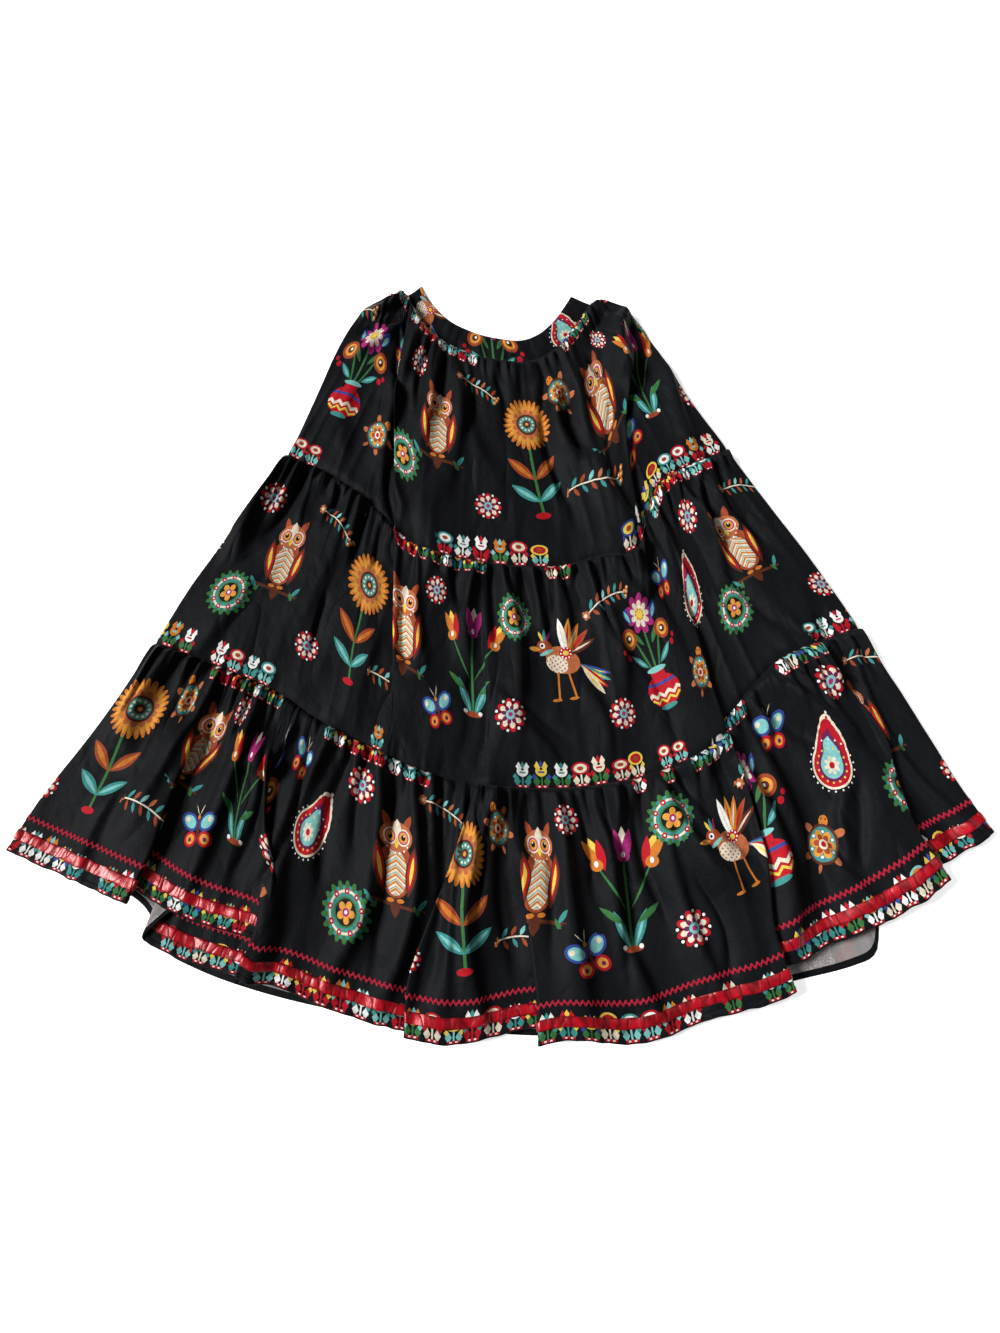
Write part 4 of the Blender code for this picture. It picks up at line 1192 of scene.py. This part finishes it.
def front_panel(tier, fabrics):
    """A front tier as a thin shell, with its seam edge or its turned hem."""
    bearings, reaches, lifts, cloths, owner = front_rows(tier)
    points = np.stack([*plan(bearings, reaches), lifts], axis=2)
    across, squeezed = grain(tier, bearings, points, owner)
    above = cloths[-1] - cloths
    if tier["bottom"] < LENGTH:
        step = SEAM_RISE * (1.0 - ease((above - SEAM_TUCK) / 0.006)) - SEAM_NIP * (above < 1e-6)
        points[..., 2] += step[:, None]
    else:
        step = HEM_RISE * (1.0 - ease((above - 0.005) / 0.0016))
        step = step - HEM_DENT * np.exp(-((above - 0.0066) / 0.0006) ** 2)
        points += grid_normals(points) * step[:, None, None]
        points, cloths = turn_hem(points, cloths)
    turned = ((0, len(points) - len(across)), (0, 0))
    across, squeezed = np.pad(across, turned, "edge"), np.pad(squeezed, turned, "edge")
    piece, faces = grid_piece("cotton_" + tier["name"] + "_front", points)
    bare = squeezed.reshape(-1)[faces].any(axis=1)
    uv = cloth_places(across, cloths - tier["top"])
    return dress(piece, faces, uv, tier["name"], CUTS[tier["name"]], fabrics, bare), points, cloths


def turn_hem(points, cloths):
    """Carries the cloth round its hem and a little way up again behind itself."""
    behind = 2.0 * CLOTH * grid_normals(points)
    onward = 0.0004 * unit(points[-1] - points[-2])
    inside = len(cloths) - 4
    turned = [points[-1] + onward - 0.5 * behind[-1], points[-1] - behind[-1],
              points[inside] - behind[inside]]
    more = LENGTH + np.array([0.0008, 0.0014, 0.0064])
    return np.concatenate([points, np.stack(turned)]), np.concatenate([cloths, more])


def back_panel(tier, fabrics):
    """A back tier, flat on the surface, its printed side down."""
    name, top = tier["name"], tier["top"]
    hem = tier["bottom"] == LENGTH
    last = tier["bottom"] + (0.0 if hem else SEAM_TUCK)
    cloths = np.concatenate([np.linspace(top, last - 0.01, 40), last - np.array(HEM_ROWS)])
    steps = np.linspace(0.0, 1.0, BACK_COLUMNS[name])
    rows = []
    for cloth in cloths:
        left, right, margin = sides_at(cloth, BACK_INSET)
        bearing = left + margin + (right - left - 2.0 * margin) * steps
        reach = reach_of(bearing, cloth)
        if hem:
            down = (cloth - top) / (last - top)
            reach = lerp(reach_of(bearing, top), read_table(BACK_HEM, bearing, 1), down)
        x, y = plan(bearing, reach)
        fades = ease((cloth - top) / 0.01) * (1.0 - ease((cloth - top) / 0.09))
        height = BACK_HEIGHT + BACK_GATHER * wave(tier["gathers"] * 1.6 * steps) * fades
        height = height + 0.00012 * rough(x / 0.03, y / 0.05, 5.0)
        if not hem:
            height = height + 0.0002 * (1.0 - ease((last - cloth) / 0.008))
        rows.append(np.stack([x, y, height], axis=1))
    points = np.array(rows)
    across = along_rows(points)[len(cloths) * 8 // 10] * BACK_GATHERED
    piece, faces = grid_piece("cotton_" + name + "_back", points, face_down=True)
    return dress(piece, faces, cloth_places(across, cloths - top), name, BACK_CUTS[name], fabrics)


def swollen(share):
    """How far the casing swells between its two stitched edges."""
    return math.sin(math.pi * min(1.0, max(0.0, share))) ** 0.5


def front_casing(cloth, share):
    """Bearings and heights across the front of the casing, drawn up in rucks by its elastic."""
    left, right, roll = sides_at(cloth, SIDE_ROLL)
    flat = np.linspace(left + roll, right - roll, CASING_COLUMNS["front"])
    bearing = np.concatenate([left + roll * ROLL_IN, flat, (right - roll * ROLL_IN)[::-1]])
    rise = np.concatenate([ROLL_UP, np.ones(len(flat)), ROLL_UP[::-1]])
    turns = RUCKS * (bearing - left) / (right - left)
    stray = 0.7 * drift(0.55 * turns, 0.0, 71.0) + 0.35 * drift(turns, 1.6 * share, 72.0)
    tall = patchy(0.8 * turns, 0.9 * share, 73.0)
    swell = swollen(share)
    ruck = RUCK * lean_wave(turns + stray, 0.6) * tall ** 1.5
    ruck = ruck + RUCK_FINE * patchy(3.3 * turns, 2.2 * share, 74.0)
    edge = 1.0 - 0.55 * math.exp(-(share / 0.035) ** 2)
    height = BACK_TOP + (CASING_HEIGHT + ruck * swell) * edge + CASING_SWELL * swell
    return bearing, height * rise


def back_casing(cloth, share):
    left, right, margin = sides_at(cloth, BACK_INSET)
    bearing = np.linspace(left + margin, right - margin, CASING_COLUMNS["back"])
    turns = RUCKS * 1.4 * (bearing - left) / (right - left)
    return bearing, 0.00075 + 0.0002 * swollen(share) * wave(turns)


def waistband(side, fabrics):
    """Half of the casing."""
    cloths = -BAND + BAND * BAND_ROWS
    half = front_casing if side == "front" else back_casing
    rows = []
    for cloth in cloths:
        bearing, height = half(cloth, (cloth + BAND) / BAND)
        rows.append(np.stack([*lies_at(bearing, cloth), height], axis=1))
    points = np.array(rows)
    piece, faces = grid_piece("casing_" + side, points, face_down=side == "back")
    uv = cloth_places(along_rows(points)[10] * BAND_GATHERED, cloths + BAND)
    return dress(piece, faces, uv, "casing", BAND_CUT, fabrics)


def ribbon(points, cloths):
    """The satin ribbon on the lower tier, stitched flat along both edges."""
    row = np.interp(RIBBON_EDGE - RIBBON_WIDTH * (1.0 - RIBBON_ROWS), cloths, np.arange(len(cloths)))
    column = np.arange(1.0, points.shape[1] - 2.0, 0.5)
    rows, columns = np.meshgrid(row, column, indexing="ij")
    run = along_rows(points)[int(row[3])][columns.astype(int)]
    share = RIBBON_ROWS[:, None]
    pucker = RIBBON_PUCKER * drift(run / 0.01, 0.7 * share, 41.0)
    pucker = pucker + 0.0003 * drift(run / 0.0036, share, 42.0)
    crown = np.sin(math.pi * share) ** 0.5 * (RIBBON_CROWN + np.maximum(pucker, -0.00055))
    placed = over_cloth(points, rows, columns, CLOTH + RIBBON_OVER + crown)
    piece, faces = grid_piece("satin_ribbon", placed)
    uv = cloth_places(along_rows(placed)[3], RIBBON_ROWS * RIBBON_WIDTH)
    write_corners(piece.data, "cloth", uv.reshape(-1, 2)[faces.reshape(-1)])
    piece.data.materials.append(satin())
    thicken(piece, RIBBON_CLOTH)
    return piece


def rickrack(points, cloths):
    """Waved braid on the lower tier: rings of points round its narrow woven band."""
    middle = float(np.interp(RICKRACK_LINE, cloths, np.arange(len(cloths))))
    run = along_rows(points)[int(round(middle))]
    stops = np.arange(run[1], run[-2], RICKRACK_PITCH / RICKRACK_SECTIONS)[:, None]
    turns = stops / RICKRACK_PITCH + 0.12 * np.sin(stops * 23.0)
    cloth = RICKRACK_LINE + RICKRACK_SWING * np.sin(TURN * turns) + 0.5 * RICKRACK_WIDTH * RING_SIDE
    rows = np.interp(cloth, cloths, np.arange(len(cloths)))
    columns = np.interp(stops + 0.0 * RING_SIDE, run, np.arange(len(run)))
    placed = over_cloth(points, rows, columns, 0.6 * CLOTH + RICKRACK_HEIGHT * RING_HEIGHT + 0.0 * stops)
    count, around = len(stops), len(RING_SIDE)
    faces = []
    for start in range(0, (count - 1) * around, around):
        for k in range(around):
            after = start + (k + 1) % around
            faces.append((start + k, after, after + around, start + k + around))
    faces.append(tuple(range(around))[::-1])
    faces.append(tuple((count - 1) * around + k for k in range(around)))
    piece = new_piece("rickrack", placed, faces)
    place = np.stack(np.broadcast_arrays(turns, RING_SIDE), axis=2).reshape(-1, 2)
    write_corners(piece.data, "cloth", place[[k for face in faces for k in face]])
    piece.data.materials.append(braid())
    return piece


# Materials
def new_material(name, settings):
    """A material with its shader's own numbers and colours set, and its nodes."""
    made = bpy.data.materials.new(name)
    made.use_nodes = True
    for socket, value in settings.items():
        made.node_tree.nodes["Principled BSDF"].inputs[socket].default_value = value
    return made, made.node_tree


def finish(made, colour, height, strength=0.8):
    """Gives a material its colour and, from a height, its relief."""
    tree = made.node_tree
    shader = tree.nodes["Principled BSDF"]
    relief = wire(tree, "Bump", {"Strength": strength, "Distance": 1.0, "Height": height})
    tree.links.new(relief.outputs["Normal"], shader.inputs["Normal"])
    tree.links.new(colour, shader.inputs["Base Color"])
    return made


def corner_place(tree, name="cloth"):
    return wire(tree, "Attribute", {}, attribute_name=name).outputs["Vector"]


def noise(tree, place, scale, detail=2.0, rough=0.5):
    inputs = {"Scale": scale, "Detail": detail, "Roughness": rough, "Vector": place}
    return Field(tree, wire(tree, "TexNoise", inputs).outputs["Fac"])


def ramp(tree, factor, stops):
    node = wire(tree, "ValToRGB", {"Fac": factor})
    node.color_ramp.interpolation = "CONSTANT"
    points = node.color_ramp.elements
    while len(points) < len(stops):
        points.new(0.5)
    for point, (place, ink) in zip(points, stops):
        point.position = place
        point.color = INKS[ink] + (1.0,)
    return node.outputs["Color"]


def tint(tree, colour, factor, low, high):
    """Darkens or lightens a colour as a factor goes from 0 to 1."""
    scale = factor * (high - low) + low
    return wire(tree, "VectorMath", {0: colour, "Scale": scale}, operation="SCALE").outputs[0]


def stretched(tree, place, down):
    """Coordinates for marks that run longer down the cloth than across it."""
    return wire(tree, "Mapping", {"Scale": (1.0, down, 1.0), "Vector": place}).outputs[0]


def weave(tree, place):
    """Height of a plain weave, with a soft crinkle and, in places, soft creases."""
    u, v = two_ways(tree, place)
    height = (u * (TURN / THREADS)).math("SINE") * (v * (TURN / THREADS)).math("SINE") * 0.00003
    height = height + noise(tree, place, 420.0, 3.0, 0.6) * 0.00035
    height = height + noise(tree, place, 70.0, 2.0) * 0.0011
    crease = (noise(tree, stretched(tree, place, 0.45), 20.0, 1.0) - 0.5).size()
    where = ((noise(tree, place, 13.0, 1.0) - 0.44) * 8.0).math("MAXIMUM", 0.0).math("MINIMUM", 1.0)
    return height + crease.math("SMOOTH_MIN", 0.08, 0.06) * where * 0.016


def cotton(kind):
    """Black cotton with one motif of its print."""
    made, tree = new_material("cotton_" + kind, {
        "Roughness": 0.56, "Specular IOR Level": 0.045, "Sheen Weight": 0.02, "Sheen Roughness": 0.45})
    place = corner_place(tree)
    ground = tint(tree, INKS["black"], noise(tree, place, 9.0), 0.85, 1.2)
    if kind in MOTIFS:
        art = Drawing(tree, corner_place(tree, "motif"), ground)
        MOTIFS[kind](art)
        ground = tint(tree, art.colour, noise(tree, place, 210.0, 3.0, 0.65), 0.55, 1.42)
    colour = tint(tree, ground, noise(tree, place, 900.0, 2.0, 0.7), 0.78, 1.18)
    return finish(made, colour, weave(tree, place), 0.9)


def wrong_side():
    """The back of the print: grey, with the motifs showing faintly through."""
    made, tree = new_material("cotton_wrong", {"Roughness": 0.88, "Sheen Weight": 0.1})
    place = corner_place(tree)
    base = tint(tree, (0.215, 0.19, 0.188), noise(tree, place, 26.0, 3.0), 0.7, 1.2)
    art = Drawing(tree, place, base)
    patch = noise(tree, place, 34.0, 2.0)
    specks = noise(tree, place, 620.0, 1.0)
    art.paint((0.4, 0.37, 0.36), (patch > 0.54) & (specks > 0.54))
    art.paint((0.27, 0.15, 0.13), (patch < 0.42) & (specks > 0.56))
    art.paint((0.12, 0.19, 0.19), ((patch - 0.48).size() < 0.02) & (specks < 0.44))
    colour = tint(tree, art.colour, noise(tree, place, 900.0, 2.0, 0.7), 0.88, 1.1)
    return finish(made, colour, weave(tree, place), 0.9)


def satin():
    """Red ribbon with cross creases and painted shade along them, patches of painted shade and painted
    highlight, darker bound edges and a row of stitches by each.
    """
    made, tree = new_material("red_satin", {
        "Roughness": 0.34, "Specular IOR Level": 0.7, "Specular Tint": (1.0, 0.45, 0.45, 1.0)})
    place = corner_place(tree)
    u, v = two_ways(tree, place)
    edge = (v - 0.5 * RIBBON_WIDTH).size()
    # Patches darker and lighter than the red: painted shade and painted highlights.
    base = tint(tree, (0.38, 0.002, 0.01), noise(tree, place, 80.0, 3.0, 0.6), 0.2, 1.5)
    crease = (noise(tree, stretched(tree, place, 0.35), 62.0, 1.0) - 0.5).size()
    crease = (crease * 14.0).math("MINIMUM", 1.0)
    # Darkened along the creases: painted shade in their grooves.
    base = tint(tree, base, crease, 0.42, 1.0)
    base = tint(tree, base, edge > 0.5 * RIBBON_WIDTH - 0.0009, 1.0, 0.62)
    stitch = ((edge - (0.5 * RIBBON_WIDTH - 0.0016)).size() < 0.00022) & ((u * 400.0).math("FRACT") < 0.62)
    height = (u * 2600.0).math("SINE") * 0.00001 + noise(tree, place, 300.0) * 0.0003
    height = height + stitch * -0.0002 + crease * 0.0006
    return finish(made, tint(tree, base, stitch, 1.0, 0.45), height)


def braid():
    """Dark red braid with slanting ribs, painted shade in the grooves between them, and a stitch line along
    its middle.
    """
    made, tree = new_material("red_braid", {
        "Roughness": 0.62, "Specular IOR Level": 0.14, "Sheen Weight": 0.02})
    u, v = two_ways(tree, corner_place(tree))
    ribs = ((u * 10.0 + v.size() * 0.8) * TURN).math("SINE")
    # The colour follows the ribs: painted shade in their grooves, lighter on their crests.
    colour = tint(tree, (0.38, 0.008, 0.03), ribs, 0.86, 1.12)
    stitch = (v.size() < 0.16) & ((u * 1.5).math("FRACT") < 0.6)
    return finish(made, tint(tree, colour, stitch, 1.0, 0.5), ribs * 0.00008 + stitch * -0.0003)


# Setting
def pale(name, material, settings):
    """Names the object just made and gives it a pale surface that glows."""
    piece = bpy.context.object
    piece.name = name
    colours = {"Base Color": (0.93, 0.93, 0.93, 1.0), "Emission Color": (1.0, 1.0, 1.0, 1.0)}
    piece.data.materials.append(new_material(material, colours | settings)[0])
    piece.select_set(False)
    return piece


def floor():
    bpy.ops.mesh.primitive_plane_add(size=14.0, location=(0.0, 0.0, -0.0002))
    pale("floor", "pale_floor", {"Roughness": 0.9, "Emission Strength": 0.6})


def backdrop():
    """A pale room round the floor, which is seen but gives no light."""
    bpy.ops.mesh.primitive_uv_sphere_add(segments=48, ring_count=24, radius=9.5)
    room = pale("backdrop", "pale_room", {"Emission Strength": 0.95})
    room.visible_diffuse = room.visible_glossy = room.visible_shadow = False


def lights():
    """Soft daylight from the left, with a little light from above on the right."""
    sun = bpy.data.lights.new("daylight", "SUN")
    sun.angle = math.radians(22.0)
    sun.energy = 5.6
    facing = Vector((-1.0, 0.12, 0.84)).to_track_quat("Z", "Y")
    add_object("daylight", sun).rotation_euler = facing.to_euler()
    fill = bpy.data.lights.new("fill", "AREA")
    fill.size = 0.4
    fill.energy = 0.75
    holder = add_object("fill", fill)
    holder.location = (0.46, -0.2, 0.55)
    holder.visible_camera = False
    world = bpy.data.worlds.new("daylight")
    world.use_nodes = True
    sky = world.node_tree.nodes["Background"].inputs
    sky["Color"].default_value = (1.0, 1.0, 1.0, 1.0)
    sky["Strength"].default_value = 0.085
    bpy.context.scene.world = world
    bpy.context.scene.view_settings.view_transform = "Standard"


def camera():
    """The photograph's view, from 75 degrees up."""
    lens = bpy.data.cameras.new("camera")
    lens.sensor_width = FILM
    lens.lens = FILM * FOCAL
    holder = add_object("camera", lens)
    holder.location = CAMERA
    holder.rotation_euler = (math.radians(15.0), 0.0, 0.0)
    bpy.context.scene.camera = holder


def hand_over(piece, node, rests_on=None):
    """Rides and replaces its solid."""
    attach(piece, "root")
    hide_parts(node)


def make_skirt():
    fabrics = {kind: cotton(kind) for kind in FABRICS[:-1]}
    fabrics["wrong"] = wrong_side()
    backs = [back_panel(tier, fabrics) for tier in TIERS]
    fronts = [front_panel(tier, fabrics) for tier in TIERS]
    trims = [make(*fronts[-1][1:]) for make in (ribbon, rickrack)]
    for side in ("front", "back"):
        hand_over(waistband(side, fabrics), "waistband_" + side)
    for tier, back, (front, _, _) in zip(TIERS, backs, fronts):
        name = tier["name"]
        hand_over(back, name + "_back", "floor")
        hand_over(front, name + "_front", name + "_back")
    hand_over(trims[0], "ribbon_front", "tier_3_front")
    hand_over(trims[1], "rickrack_front")


make_skirt()
floor()
backdrop()
lights()
camera()
